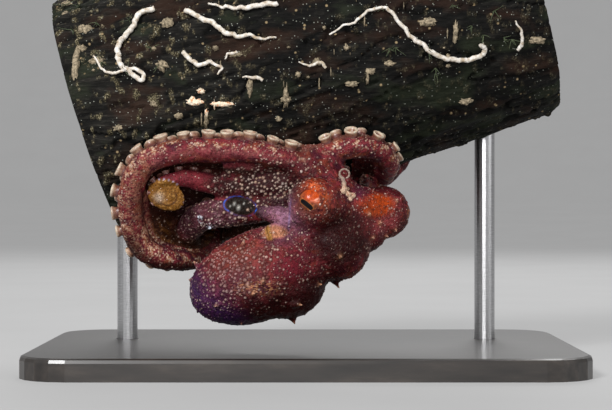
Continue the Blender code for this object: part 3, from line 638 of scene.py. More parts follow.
def skin_at(tree, x, z):
    """The skin's place and outward way straight behind (x, z) as the camera sees it, or the nearest to it, in mm."""
    hit, normal, _, _ = tree.ray_cast(at(x, -80, z), Vector((0, 1, 0)))
    if hit is None:
        hit, normal, _, _ = tree.find_nearest(at(x, MANTLE_CENTRE.y, z))
    return hit / MM, normal


def papilla_places(tree):
    """Every papilla as (root, way, height) in mm."""
    places = []
    for (x, z), (lean_x, lean_z), height in PAPILLAE + DROPS:
        root, normal = skin_at(tree, x, z)
        places.append((root, (normal + Vector((lean_x, 0, lean_z))).normalized(), height))
    rng = random.Random(5)
    for k in range(FAR_PAPILLAE):
        along = 0.9 - 1.3 * (k + 0.5) / FAR_PAPILLAE
        angle = math.radians(-75 + 150 * ((k * 0.618) % 1))
        ring = math.sqrt(1 - along * along)
        way = Vector((-along, ring * math.cos(angle), ring * math.sin(angle)))
        hit, normal, _, _ = tree.ray_cast(MANTLE_CENTRE * MM, way)
        places.append((hit / MM, normal, rng.uniform(0.8, 1.7)))
    return places


def papilla(root, way, height):
    """A soft point that widens into the skin at its foot and leans a little at its tip."""
    turn = pointing(way, Vector((1, 0, 0)) if abs(way.x) < 0.9 else Vector((0, 0, 1)))
    wide = 0.55 + 0.34 * height
    rings = []
    for share, width in ((-0.45, 1.5), (0.0, 1.0), (0.25, 0.66), (0.5, 0.46), (0.75, 0.36), (0.95, 0.26), (1.05, 0.12)):
        lean = Vector((0.12, 0, 0.1)) * height * max(0, share) ** 2
        centre = root + way * height * share + lean
        angles = [2 * math.pi * k / 16 for k in range(16)]
        rings.append([(centre + turn @ Vector((math.cos(a), math.sin(a), 0)) * width * wide) * MM for a in angles])
    return loft("papilla", rings)


def curled_papilla(skin):
    """The pale papilla beside the left eye: a stem whose end rolls up into a loop, with two beads at its foot."""
    tree = BVHTree.FromObject(skin, bpy.context.evaluated_depsgraph_get())
    root, _ = skin_at(tree, *CURL_ROOT)
    loop = root + Vector((-0.35, -0.7, CURL_STEM + CURL_LOOP))
    route = [root + Vector(step) for step in ((0.4, 0.8, -0.6), (-0.3, -0.4, 0.8), (-0.5, -0.6, 2.4))]
    for i in range(10):
        angle = math.radians(250 - 36 * i)
        route.append(loop + Vector((math.cos(angle) * CURL_LOOP, 0.06 * i, math.sin(angle) * CURL_LOOP)))
    line = [Vector(p) for p in smooth_route([tuple(p) for p in route], 8)]
    rings = []
    for i, place in enumerate(line):
        heading = line[min(i + 1, len(line) - 1)] - line[max(i - 1, 0)]
        turn = pointing(heading, Vector((0, 1, 0)))
        share = i / (len(line) - 1)
        radius = CURL_RADII[0] + (CURL_RADII[1] - CURL_RADII[0]) * min(1, 2.2 * share)
        radius *= 1 + 0.1 * math.sin(i * 0.9)
        angles = [2 * math.pi * k / 16 for k in range(16)]
        rings.append([(place + turn @ Vector((math.cos(a), math.sin(a), 0)) * radius) * MM for a in angles])
    pieces = [loft("curled_papilla", rings)]
    for x, z, size in ((0.4, 0.9, 0.7), (-0.8, 0.2, 0.85), (0.6, -0.6, 0.95), (1.8, -0.9, 0.95), (1.2, -1.9, 0.65)):
        hit, _ = skin_at(tree, CURL_ROOT[0] + x, CURL_ROOT[1] + z)
        pieces.append(ball("bead", hit, (size, size, size * 0.9), sides=24))
    return remeshed("curled_papilla", pieces, 0.14, 3)


def curl_colours(places):
    """Grey-beige at the loop, cream and orange at the foot."""
    low = 1 - ramp(places[:, 2], CURL_ROOT[1] + 1, CURL_ROOT[1] + 3.5)
    fine = noise_at(places, 0.6, 40)
    colours = np.tile(np.array((0.30, 0.22, 0.18)), (len(places), 1))
    colours = paint(colours, low, (0.56, 0.38, 0.27), 1.0)
    return paint(colours, low * ramp(fine, 0.1, 0.4), (0.30, 0.09, 0.04), 0.7)


def skin_mesh(arms):
    """The whole skin: body and crown melted together, with the arms run into them."""
    core = [ball("mantle", MANTLE_CENTRE, MANTLE_HALF, Matrix.Rotation(-MANTLE_DROOP, 4, "Y"))]
    core += [ball(name, centre, half) for name, (centre, half) in HEAD_BALLS.items()]
    for centre in (LEFT_MOUND, RIGHT_MOUND):
        core.append(ball("mound", centre, MOUND_HALF))
        core.append(cone("ridge", MOUND_ROOT * MM, centre * MM, (8.0 * MM, 6.6 * MM)))
    head = Vector(HEAD_BALLS["skull"][0])
    core.append(cone("neck", head * MM, CROWN_CENTRE * MM, [r * MM for r in NECK_RADII]))
    core.append(ball("crown", CROWN_CENTRE, CROWN_HALF))
    for arm in arms.values():
        core.append(arm.tube("stub", 0, arm.web_to + 3))
    for first, second in zip(ROUND_THE_MOUTH, ROUND_THE_MOUTH[1:]):
        core.append(web(arms[first], arms[second]))
    body = remeshed("core", core, CORE_VOXEL, CORE_SMOOTHING)
    extra = [arm.tube("arm", max(2, arm.web_to - 4), arm.length) for arm in arms.values()]
    extra += [loop_web(arms[name], *facts) for name, facts in LOOPS.items()]
    extra.append(funnel())
    extra.append(ball("pad", PAD_CENTRE, PAD_HALF, Matrix.Rotation(-0.3, 4, "Y")))
    extra.append(ball("curl", on_log(CURL["along"], CURL["degrees"], CURL["lift"]) / MM, CURL_FILL, Matrix.Rotation(CURL_TILT, 4, "Y")))
    tree = BVHTree.FromObject(body, bpy.context.evaluated_depsgraph_get())
    tips = []
    for root, way, height in papilla_places(tree):
        extra.append(papilla(root, way, height))
        tips.append(root + way * height)
    return remeshed("octopus_skin", [body, *extra], SKIN_VOXEL, SKIN_SMOOTHING), tips


def mirrored(way):
    return way - 2 * way.dot(ACROSS) * ACROSS


EYES = {
    "left": (LEFT_MOUND, LEFT_GAZE, LEFT_PUPIL, LEFT_SLIT),
    "right": (RIGHT_MOUND, mirrored(LEFT_GAZE), mirrored(LEFT_PUPIL), mirrored(LEFT_SLIT)),
}


def refine_near_eyes(obj):
    """Splits the skin's faces round the eyes, where the lids need a finer mesh."""
    bm = bmesh.new()
    bm.from_mesh(obj.data)
    centres = [(mound + gaze * MOUND_HALF[0]) * MM for mound, gaze, _, _ in EYES.values()]
    near = [e for e in bm.edges if all(min((v.co - c).length for c in centres) < 4.8 * MM for v in e.verts)]
    bmesh.ops.subdivide_edges(bm, edges=near, cuts=1, use_grid_fill=True)
    bm.to_mesh(obj.data)
    bm.free()


def across_eye(places, eye):
    """How far each place lies from an eye's opening: (along the slit, across it, out along the gaze), in mm."""
    mound, gaze, _, slit = EYES[eye]
    g = np.array(gaze)
    s = np.array((slit - gaze * slit.dot(gaze)).normalized())
    away = places - np.array(mound)
    return away @ s, away @ np.cross(g, s), away @ g


def open_eyes(places):
    """Sinks the skin inside each eye's opening and raises a lid and its folds round it."""
    made = places.copy()
    lids = np.zeros(len(places))
    for eye in EYES:
        u, w, depth = across_eye(places, eye)
        u, w = u / LID_HALF[0], w / LID_HALF[1]
        q = np.sqrt(u**2 + w**2)
        front = (depth > 3) & (q < 4)
        angle = np.arctan2(w, u)
        sink = LID_DEPTH * (1 - ramp(q, 0.84, 1.0))
        rise = LID_HEIGHT * np.exp(-(((q - 1.12) / 0.14) ** 2))
        creases = 0.06 * np.exp(-(((q - 1.5) / 0.25) ** 2)) * np.sin(11 * angle + 1.2 * np.sin(3 * angle))
        second = 0.07 * np.exp(-(((q - 1.85) / 0.15) ** 2))
        made += np.outer((rise + second + creases - sink) * front, np.array(EYES[eye][1]))
        lids = np.maximum(lids, np.exp(-(((q - 1.08) / 0.18) ** 2)) * front)
    return made, lids


class ArmMap:
    """For every place on the skin: the nearest arm, how far along it and which way round."""

    def __init__(self, arms, places):
        self.names = list(arms)
        samples, facts = [], []
        for k, arm in enumerate(arms.values()):
            for distance in np.arange(0, arm.length, 0.5):
                samples.append(arm.place(distance))
                facts.append((k, distance, distance / arm.length, arm.radius(distance), *arm.oral(distance)))
        tree = kdtree.KDTree(len(samples))
        for i, place in enumerate(samples):
            tree.insert(place, i)
        tree.balance()
        nearest = [tree.find(Vector(p))[1:] for p in places]
        index = np.array([i for i, _ in nearest])
        away = np.array([d for _, d in nearest])
        facts, samples = np.array(facts), np.array([list(p) for p in samples])
        self.arm, self.distance, self.share, self.radius = facts[index, :4].T
        out = places - samples[index]
        out /= np.linalg.norm(out, axis=1)[:, None] + 1e-9
        self.oral = np.sum(out * facts[index, 4:], axis=1)
        self.away = away
        self.near = 1 - ramp(away / self.radius, 1.25, 1.7)

    def on(self, name, start=0.0, end=1e3, fade=3.0):
        """1 on an arm between two distances along it, in mm."""
        mine = (self.arm == self.names.index(name)) * self.near
        return mine * ramp(self.distance, start - fade, start + fade) * (1 - ramp(self.distance, end - fade, end + fade))


def thickness_of_granules(places, arm_map):
    """How thickly granules stand at each place, and how large they are there."""
    crown = spot(places, (-9.0, -33, 50.5), (8, 9, 5.5))
    fold = ramp(spot(places, *DOTTED_FOLD), 0.2, 0.6)
    mantle = spot(places, MANTLE_CENTRE, (19, 15, 13))
    head = spot(places, (10, -30, 41), (14, 11, 13))
    mound = spot(places, (22, -25, 41), (9, 9, 7))
    lobe = arm_map.on("arm_left_3", 20, 44)
    on_arm = arm_map.near * ramp(arm_map.distance, 12, 22) * (1 - lobe)
    beside = np.exp(-(((arm_map.oral - 0.2) / 0.4) ** 2)) * (arm_map.on("arm_left_1", 8) + arm_map.on("arm_right_1", 6))
    beside *= ramp(noise_at(places, 3.4, 41) + 0.3 * noise_at(places, 1.5, 42), -0.1, 0.3)
    thick = 0.2 + 0.8 * np.clip(mantle + 0.55 * head + crown + mound + 0.6 * lobe + beside, 0, 1)
    thick *= 1 - 0.65 * mantle_shadow(places)
    thick *= (1 - 0.55 * on_arm * (1 - beside)) * (1 - 0.5 * on_arm * ramp(arm_map.oral, 0.5, 0.8))
    thick *= 0.35 + 0.65 * ramp(noise_at(places, 5.0, 31) + 0.3 * noise_at(places, 2.0, 32), -0.35, 0.15)
    gathered = 0.4 + 0.6 * ramp(noise_at(places, 3.6, 36) + 0.4 * noise_at(places, 1.4, 37), -0.3, 0.2)
    thick = np.maximum(thick, 0.9 * spot(places, *ROSY) * (1 - mantle_shadow(places)) * gathered)
    thick = np.maximum(thick, 0.5 * fold)
    thick *= 1 - 0.9 * spot(places, (-8.4, -37, 39), (3.4, 3, 2.4))
    thick *= 1 - 0.7 * spot(places, (18.4, -30, 45.8), (5, 7, 3))
    coil = on_log(CURL["along"], CURL["degrees"], CURL["lift"]) / MM
    thick *= 1 - 0.95 * ramp(spot(places, coil, (6.4, 6, 5.4)), 0.3, 0.5)
    thick *= 1 - 0.85 * spot(places, (-6.0, -37, 43.5), (4.0, 5, 4.0))
    thick *= 1 - 0.97 * ramp(spot(places, (OCELLUS[0], -28, OCELLUS[1]), (4.8, 9, 3.0)), 0.25, 0.45)
    return np.clip(thick, 0, 1), 0.9 + 0.85 * crown + 0.42 * lobe + 0.25 * fold + 0.85 * spot(places, *ROSY)


def scattered(obj, count, rng):
    """The vertices nearest to random places on a mesh, spread evenly over its area."""
    mesh = obj.data
    mesh.calc_loop_triangles()
    corners = np.empty(len(mesh.loop_triangles) * 3, np.int32)
    mesh.loop_triangles.foreach_get("vertices", corners)
    areas = np.empty(len(mesh.loop_triangles), np.float32)
    mesh.loop_triangles.foreach_get("area", areas)
    edges = np.cumsum(areas.astype(float))
    return corners.reshape(-1, 3)[np.searchsorted(edges, rng.random(count) * edges[-1]), 0]


AROUND = [(i, j, k) for i in (-1, 0, 1) for j in (-1, 0, 1) for k in (-1, 0, 1)]


def granulate(skin, places, ways, arm_map):
    """Raises soft granules all over the skin. Gives the new places, how pale each vertex is and how furrowed."""
    rng = np.random.default_rng(3)
    thick, large = thickness_of_granules(places, arm_map)
    tree = kdtree.KDTree(len(places))
    for i, place in enumerate(places):
        tree.insert(place, i)
    tree.balance()
    lift = np.zeros(len(places))
    pale = np.zeros(len(places))
    furrow = np.zeros(len(places))
    kept = {}
    low, high = GRANULE_RADII
    for index in scattered(skin, GRANULES, rng):
        if rng.random() > thick[index]:
            continue
        size = (low + (high - low) * rng.random() ** 1.8) * large[index]
        paleness = max(0.25 + 0.75 * rng.random() ** 2.4, 0.65 * (large[index] > 1.35))
        centre = places[index]
        cell = tuple(int(c) for c in np.floor(centre))
        near = [kept.get((cell[0] + i, cell[1] + j, cell[2] + k)) for i, j, k in AROUND]
        if any(other is not None and np.linalg.norm(other - centre) < GRANULE_SPACING * size for other in near):
            continue
        kept[cell] = centre
        for _, i, away in tree.find_range(Vector(centre), size * 2.4):
            share = math.exp(-((away / size) ** 4) * 0.7)
            lift[i] = max(lift[i], share * size * 0.7)
            pale[i] = max(pale[i], share * paleness)
            furrow[i] = max(furrow[i], math.exp(-(((away / size - 1.55) / 0.4) ** 2)))
    return places + ways * (lift - 0.04 * furrow)[:, None], pale, furrow


def paint(colours, mask, tint, strength=1.0):
    """Lays a tint over the colours where the mask is."""
    share = np.clip(mask * strength, 0, 1)[:, None]
    return colours * (1 - share) + np.array(tint) * share


MAROON = (0.075, 0.008, 0.011)
ROSE = (0.250, 0.036, 0.042)
BRICK = (0.190, 0.034, 0.016)
CRIMSON = (0.112, 0.005, 0.013)
MAGENTA = (0.165, 0.020, 0.028)
VIOLET = (0.032, 0.011, 0.062)
PLUM = (0.042, 0.008, 0.018)
LAVENDER = (0.370, 0.175, 0.265)
CREAM = (0.640, 0.470, 0.380)
SPECKLE = (0.500, 0.260, 0.130)
OCHRE = (0.185, 0.076, 0.011)
ORANGE = (0.560, 0.070, 0.006)
PEACH = (0.480, 0.200, 0.105)
SHADE = (0.018, 0.0028, 0.0022)
RED_SHADE = (0.016, 0.0007, 0.0006)
UMBER = (0.040, 0.013, 0.005)
BLUE = (0.010, 0.120, 0.600)
ICE = (0.720, 0.820, 0.950)


def arm_colours(colours, places, ways, arm_map):
    """Mottled arms: rosy towards the camera and plum at the sides, partly their own colour and partly painted light and
    shade, with painted shade under the first left arm's end, and speckled beside the suckers.
    """
    patchy = noise_at(places, 1.7, 5)
    fine = noise_at(places, 0.5, 6)
    first = arm_map.on("arm_left_1", 6) + arm_map.on("arm_right_1", 4)
    # Partly painted light: the first arms turn rosier where they face the camera.
    colours = paint(colours, first * ramp(-ways[:, 1], 0.2, 0.8), MAGENTA, 0.7)
    colours = paint(colours, first * ramp(noise_at(places, 3.2, 33) + 0.4 * patchy, 0.1, 0.4), (0.22, 0.055, 0.026), 0.7)
    colours = paint(colours, first * ramp(noise_at(places, 2.4, 34) + 0.3 * fine, 0.15, 0.4), PLUM, 0.75)
    left = arm_map.on("arm_left_1", 44, 76)
    colours = paint(colours, left * ramp(fine + 0.6 * patchy, -0.3, 0.25), (0.31, 0.130, 0.085), 0.75)
    colours = paint(colours, arm_map.on("arm_left_2", 22, 47), MAGENTA, 0.8)
    # Partly painted shade: the arms darken to plum at the sides turned away from the camera.
    side = arm_map.near * ramp(arm_map.distance, 8, 14) * (1 - ramp(-ways[:, 1], 0.1, 0.62))
    colours = paint(colours, side * (1 - 0.6 * first), PLUM, 0.75)
    under = arm_map.on("arm_left_1", 8, 46) * np.exp(-(((ways[:, 2] + 0.35) / 0.45) ** 2)) * ramp(-ways[:, 1], 0.2, 0.6)
    colours = paint(colours, under * ramp(fine + patchy, -0.8, 0.1), (0.24, 0.058, 0.062), 0.75)
    beside = np.exp(-(((arm_map.oral - 0.25) / 0.42) ** 2)) * first
    colours = paint(colours, beside * ramp(patchy + 0.9 * fine, 0.12, 0.4), SPECKLE, 0.6)
    colours = paint(colours, beside * ramp(fine + 0.6 * patchy, 0.3, 0.45), CREAM, 0.65)
    colours = paint(colours, ramp(arm_map.oral, 0.6, 0.85) * arm_map.near, (0.20, 0.09, 0.06), 0.5)
    lower = arm_map.on("arm_left_1", 68)
    ridge = lower * np.exp(-(((ways[:, 2] - 0.15) / 0.4) ** 2)) * ramp(-ways[:, 1], 0.2, 0.6)
    # Painted shade on the downward-facing side of the first left arm's end.
    colours = paint(colours, lower * (1 - ramp(ways[:, 2], -0.55, -0.1)), SHADE, 0.8)
    colours = paint(colours, ridge * ramp(patchy + fine, -0.1, 0.25), SPECKLE, 0.6)
    return paint(colours, ridge * ramp(fine + 0.4 * patchy, 0.22, 0.38), CREAM, 0.7)


def loop_colours(colours, places, arm_map, arms):
    """The brown hollow that the first left arm encloses, banded alongside the arm, and the lobe in front of it, with
    painted shade at the hollow's top, on the fourth left arm and inside the first right arm's loop.
    """
    patchy = noise_at(places, 2.2, 2)
    fine = noise_at(places, 0.8, 3)
    x, y, z = places.T
    inside = (spot(places, (-34, -26, 45), (17, 16, 12)) > 0.12) * ramp(off_mantle(places), 1.1, 1.2)
    away = np.full(len(places), 99.0)
    line = np.array([list(p) for p in arms["arm_left_1"].places])
    chosen = np.flatnonzero(inside)
    for part in np.array_split(chosen, max(1, len(chosen) // 4000)):
        gaps = places[part][:, None, :] - line[None, :, :]
        away[part] = np.sqrt(np.sum(gaps**2, axis=2)).min(axis=1)
    hollow = inside * (1 - arm_map.near) * ramp(away, 3.6, 4.6)
    # The third left arm's return shows its own brown oral side; the fourth left arm, behind the mantle, is painted the
    # same dark brown as shade.
    curled = arm_map.on("arm_left_3", 43) * (inside > 0) + arm_map.on("arm_left_4", 14)
    colours = paint(colours, np.clip(hollow + curled, 0, 1), UMBER, 0.95)
    # Painted shade inside the first right arm's loop.
    right = spot(places, (16, -16, 51), (9, 12, 6)) * ramp(-y, 2, 6) * (1 - arm_map.near)
    colours = paint(colours, ramp(right, 0.2, 0.5) * (off_mantle(places) > 1.2) * (1 - ramp(-y, 24, 26)), SHADE, 0.9)
    low = 1 - ramp(z, 38.5, 43)
    bands = ramp(np.sin(away * 2.6 + 0.9 * patchy + 0.4), -0.2, 0.9)
    colours = paint(colours, hollow * bands * low, (0.150, 0.055, 0.014), 0.8)
    colours = paint(colours, hollow * ramp(fine + patchy, 0.3, 0.6) * low, (0.26, 0.12, 0.05), 0.45)
    # Painted shade at the top of the hollow, under the first left arm.
    colours = paint(colours, hollow * ramp(z, 39.5, 44), SHADE, 0.7)
    lobe = arm_map.on("arm_left_3", 24, 42)
    colours = paint(colours, lobe, (0.078, 0.024, 0.034), 0.85)
    return paint(colours, lobe * ramp(patchy + fine, 0.0, 0.5), (0.18, 0.080, 0.100), 0.65)


def off_mantle(places):
    """How far places lie from the mantle's middle: 1 on its surface."""
    x, y, z = (places - np.array(MANTLE_CENTRE)).T
    c, s = math.cos(MANTLE_DROOP), math.sin(MANTLE_DROOP)
    local = np.column_stack([c * x + s * z, y, c * z - s * x])
    return np.linalg.norm(local / np.array(MANTLE_HALF), axis=1)


def mantle_shadow(places):
    """1 on the mantle's dark lower side, which reaches higher towards the head."""
    x, _, z = places.T
    above = z - 17 - 0.42 * (x + 24.6)
    return (1 - ramp(above, -4.5, 3.5)) * (1 - ramp(off_mantle(places), 1.12, 1.4)) * ramp(x, -31, -19)


def coil_colours(colours, places):
    """The ochre disc of the second arm's coil, its whitish middle, a line of painted shade between its turns and its
    pale scalloped rim.
    """
    fine = noise_at(places, 0.6, 3)
    patchy = noise_at(places, 1.6, 2)
    centre = np.array(on_log(CURL["along"], CURL["degrees"], CURL["lift"]) / MM)
    away = places - centre
    c, s = math.cos(CURL_TILT), math.sin(CURL_TILT)
    u, w = c * away[:, 0] - s * away[:, 2], s * away[:, 0] + c * away[:, 2]
    reach = np.hypot(u / 5.8, w / 4.6)
    disc = (1 - ramp(reach, 0.9, 1.0)) * ramp(-away[:, 1], -2.6, -1.2)
    colours = paint(colours, disc, OCHRE, 0.97)
    colours = paint(colours, disc * ramp(patchy + fine, 0.0, 0.5), (0.15, 0.055, 0.008), 0.7)
    colours = paint(colours, disc * ramp(fine, 0.18, 0.4), (0.44, 0.24, 0.07), 0.6)
    # Painted shade: a dark line between the coil's turns, on its lower right side only.
    spiral = np.exp(-(((reach - 0.52) / 0.05) ** 2)) * ramp(away[:, 0] * 0.5 - away[:, 2], -1.5, 1.5)
    colours = paint(colours, disc * spiral, UMBER, 0.75)
    heart = np.exp(-(((away[:, 0] + 1.8) / 1.2) ** 2) - ((away[:, 2] + 0.4) / 1.1) ** 2)
    colours = paint(colours, disc * heart * (0.8 + 0.4 * fine), (0.52, 0.42, 0.33), 0.85)
    beads = ramp(np.sin(np.arctan2(w, u) * 22), 0.0, 0.7) * np.exp(-(((reach - 0.93) / 0.05) ** 2))
    return paint(colours, beads * ramp(w + 0.3 * u, -0.6, 0.8) * (away[:, 1] < 1.5), (0.45, 0.38, 0.50), 0.85)


def skin_colours(places, ways, arm_map, pale, furrow, lids, arms, tips):
    """The skin's colour at every vertex, laid on from the broad areas to the granules."""
    broad = noise_at(places, 7, 1)
    patchy = noise_at(places, 2.2, 2)
    fine = noise_at(places, 0.8, 3)
    x, y, z = places.T
    colours = np.tile(np.array(MAROON), (len(places), 1))
    colours = paint(colours, ramp(broad + 0.7 * patchy + 0.6 * fine, -0.25, 0.55), ROSE, 0.8)
    colours = paint(colours, ramp(noise_at(places, 1.6, 4), 0.1, 0.45), BRICK, 0.6)
    colours = paint(colours, ramp(noise_at(places, 3.0, 21) + 0.4 * fine, 0.12, 0.42), PLUM, 0.7)

    mantle = 1 - ramp(off_mantle(places), 1.12, 1.4)
    rim = ramp(-(x + 11.9) * 0.8 - (z - 26.8) * 0.75, 8, 17) * mantle
    colours = paint(colours, spot(places, (-19, -40, 32), (11, 7, 5.5)), (0.21, 0.047, 0.032), 0.7)
    colours = paint(colours, spot(places, (-17, -40, 24), (9, 7, 4)), (0.090, 0.018, 0.032), 0.7)
    colours = paint(colours, spot(places, (-4.3, -40, 29.5), (6.0, 7, 6.0)), CRIMSON, 0.85)
    colours = paint(colours, mantle_shadow(places), RED_SHADE, 0.93)
    colours = paint(colours, rim, VIOLET, 0.82)
    torn = spot(places, (-12.9, -42, 24.0), (4.9, 7, 1.7)) * ramp(noise_at(places, (0.7, 0.7, 0.25), 35), 0.10, 0.26)
    colours = paint(colours, torn, (0.58, 0.27, 0.12), 0.95)

    colours = arm_colours(colours, places, ways, arm_map)
    colours = loop_colours(colours, places, arm_map, arms)
    colours = coil_colours(colours, places)

    fold = ramp(spot(places, *DOTTED_FOLD), 0.2, 0.65) * arm_map.near
    colours = paint(colours, fold * ramp(patchy + fine, -0.9, 0.2), (0.022, 0.0045, 0.0045), 0.93)
    crown = ramp(spot(places, (-9.5, -33, 50.3), (11.5, 12, 6.6)), 0.15, 0.6)
    colours = paint(colours, crown * ramp(patchy + fine, -1.0, 0.0), SHADE, 0.93)
    # Painted shade over the middle and lower part of the head, mottled at first and then deep.
    head = spot(places, (12, -33, 40), (10, 9, 8))
    colours = paint(colours, head * ramp(patchy + fine, -0.6, 0.4), (0.026, 0.0016, 0.0014), 0.78)
    colours = paint(colours, ramp(spot(places, (9.6, -37, 36.6), (8.5, 9, 8.0)), 0.1, 0.7), RED_SHADE, 0.92)
    patch = ramp(spot(places, (18.6, -30, 45.6), (6.6, 8, 4.0)) + 0.12 * patchy, 0.25, 0.75)
    colours = paint(colours, patch * (0.85 + 0.4 * fine), (0.36, 0.045, 0.005), 1.0)
    colours = paint(colours, spot(places, (20.8, -29, 40.4), (6.2, 6, 3.0)) * (1 - patch), (0.30, 0.052, 0.055), 0.85)
    colours = paint(colours, spot(places, (14.5, -30, 48.3), (2.6, 7, 2.2)), (0.16, 0.035, 0.085), 0.45)
    # Painted shade at the right mound's far edge and under the head.
    colours = paint(colours, spot(places, (27, -22, 40), (3.5, 6, 6)), SHADE, 0.7)
    colours = paint(colours, spot(places, (20, -24, 33.5), (9, 9, 4.5)), SHADE, 0.75)
    colours = paint(colours, spot(places, (-6.6, -37, 42.8), (5.0, 6, 5.2)) * (0.85 + 0.5 * fine), LAVENDER, 0.8)
    streak = np.exp(-(((x + 4.3 - 0.08 * (z - 44)) / 0.24) ** 2)) * ramp(z, 38, 40) * (1 - ramp(z, 46, 48))
    colours = paint(colours, streak * ramp(-y, 33, 35), (0.22, 0.19, 0.42), 0.4)
    pad = spot(places, PAD_CENTRE, (4.0, 3.4, 2.7))
    colours = paint(colours, ramp(pad, 0.3, 0.6), PEACH, 0.9)
    rays = ramp(np.sin(np.arctan2(z - 41.5, x + 9.6) * 16 + 1.5 * patchy), 0.2, 0.9)
    colours = paint(colours, rays * ramp(pad, 0.35, 0.6), (0.28, 0.085, 0.035), 0.55)
    band = np.exp(-(((x + 10.1 + 0.25 * (z - 38.6)) / 0.8) ** 4)) * ramp(pad, 0.2, 0.4)
    colours = paint(colours, band, (0.34, 0.17, 0.035), 0.9)
    groove = np.exp(-(((x + 10.3 + 0.25 * (z - 38.6)) / 0.3) ** 2)) * ramp(pad, 0.2, 0.4)
    colours = paint(colours, groove, (0.17, 0.065, 0.010), 0.95)

    u, w, depth = across_eye(places, "left")
    around = np.exp(-((np.hypot(u, w) / 5.2) ** 4)) * (depth > 3)
    colours = paint(colours, around * ramp(patchy + fine, -0.5, 0.3), (0.130, 0.036, 0.020), 0.8)
    beside = spot(places, (4.6, -40, 47.6), (2.3, 5, 3.6))
    colours = paint(colours, beside * ramp(fine + 0.5 * patchy, -0.5, 0.2), (0.30, 0.052, 0.010), 0.85)
    above = np.exp(-(((x - 1.7) / 2.0) ** 2) - ((z - 49.6) / 2.7) ** 2) * ramp(-y, 36, 38)
    colours = paint(colours, above * (0.85 + 0.6 * fine), ORANGE, 1.0)
    # Painted highlight: pale salmon streaks over the orange patch above the left eye.
    colours = paint(colours, above * ramp(fine + 0.4 * patchy, 0.15, 0.4), (0.66, 0.22, 0.10), 0.4)
    colours = paint(colours, lids * (1 - 0.9 * above), (0.090, 0.024, 0.016), 0.5)

    colours = ocellus(colours, places, ways)
    # Painted shade in the furrows round the granules.
    colours = paint(colours, furrow * (1 - pale), SHADE, 0.5)
    for tip in tips[:len(PAPILLAE)]:
        colours = paint(colours, spot(places, tip, (0.8, 0.8, 0.8)) * (0.9 + fine), (0.52, 0.23, 0.11), 0.85)
    drops = sum(spot(places, (px, 0, pz - 1.1), (0.9, 99, 1.2)) for (px, pz), _, _ in DROPS)
    tint = np.array(CREAM) * (1 + 0.25 * broad[:, None]) + np.array((-0.02, 0.02, 0.05)) * patchy[:, None] * 2
    tint = paint(tint, spot(places, *ROSY), (0.27, 0.130, 0.142), 0.85)
    tint = paint(tint, spot(places, (22, -25, 41), (9, 9, 7)), (0.42, 0.19, 0.19), 0.7)
    # The granules are dimmed where shade is painted on the head and the mantle's lower side, and on the violet rim.
    dull = 0.8 * spot(places, (9.6, -37, 37.5), (8.5, 9, 9)) + 0.5 * mantle_shadow(places) + 0.3 * rim
    share = np.clip(ramp(pale, 0.1, 1.0) * (0.95 - dull), 0, 1)[:, None]
    colours = colours * (1 - share) + tint * share
    colours = paint(colours, np.clip(drops, 0, 1) * ramp(pale, 0.15, 0.4) * ramp(-y, 22, 26), ICE, 1.0)
    shade = 1 + 0.25 * fine[:, None] + 0.15 * patchy[:, None]
    return np.clip(colours * shade, 0, 1)


OCELLUS = (-17.8, 45.3)  # the blue ring on the web between the second and third arms, as (X, Z)
OCELLUS_HALF = (4.5, 2.6)


def ocellus(colours, places, ways):
    """The thin blue ring round a dark brown field with a few white spots."""
    x, y, z = places.T
    turn = math.radians(-12)
    u = (x - OCELLUS[0]) * math.cos(turn) + (z - OCELLUS[1]) * math.sin(turn)
    w = -(x - OCELLUS[0]) * math.sin(turn) + (z - OCELLUS[1]) * math.cos(turn)
    q = np.hypot(u / OCELLUS_HALF[0], w / OCELLUS_HALF[1])
    shown = ramp(-ways[:, 1], 0.0, 0.3) * ramp(-y, 18, 20)
    colours = paint(colours, (1 - ramp(q, 0.8, 1.05)) * shown, (0.010, 0.0050, 0.0028), 1.0)
    turned = np.cos(np.arctan2(w / OCELLUS_HALF[1], u / OCELLUS_HALF[0]))
    broken = np.clip(ramp(-turned, -0.3, 0.3) + ramp(turned, 0.75, 0.95), 0.22, 1)
    broken = broken * (0.35 + 0.65 * ramp(noise_at(places, 1.2, 12), -0.2, 0.1))
    q = q + 0.05 * noise_at(places, 1.4, 13)
    colours = paint(colours, np.exp(-(((q - 1.0) / 0.036) ** 2)) * shown * broken, BLUE, 0.95)
    for du, dw, size in ((-1.7, 0.3, 0.34), (-0.4, -0.5, 0.42), (0.8, 0.9, 0.22), (-2.7, -0.6, 0.22)):
        dot = np.exp(-(((u - du) / size) ** 2) - ((w - dw) / (size * 1.4)) ** 2) * shown
        colours = paint(colours, dot, (0.48, 0.46, 0.42), 0.85)
    return colours


def set_colours(obj, colours):
    """Stores a colour per vertex for the material to read."""
    stored = obj.data.attributes.new("tint", "FLOAT_COLOR", "POINT")
    stored.data.foreach_set("color", np.column_stack([colours, np.ones(len(colours))]).astype(np.float32).ravel())


def octopus_skin(arms):
    skin, tips = skin_mesh(arms)
    refine_near_eyes(skin)
    places = positions(skin)
    arm_map = ArmMap(arms, places)
    places, lids = open_eyes(places)
    place_vertices(skin, places)
    ways = normals(skin)
    wrinkles = noise_at(places, (3.0, 3.0, 1.8), 7) * 0.22 + noise_at(places, 1.3, 8) * 0.16
    wrinkles = wrinkles + noise_at(places, 0.65, 9) * 0.06 - 0.08
    places = places + ways * wrinkles[:, None]
    places, pale, furrow = granulate(skin, places, ways, arm_map)
    for tip in tips:
        pale = np.maximum(pale, spot(places, tip, (0.9, 0.9, 0.9)) * 0.6)
    colours = skin_colours(places, ways, arm_map, pale, furrow, lids, arms, tips)
    place_vertices(skin, places)
    set_colours(skin, colours)
    set_mask(skin, "pale", pale)
    # No fine pale points where shade is painted on the head and the mantle's lower side.
    dark = spot(places, (9.6, -37, 37.5), (9.5, 9, 10)) + mantle_shadow(places)
    set_mask(skin, "unspotted", np.clip(dark, 0, 1) * 0.85)
    skin.data.shade_smooth()
    return skin


# Eyes


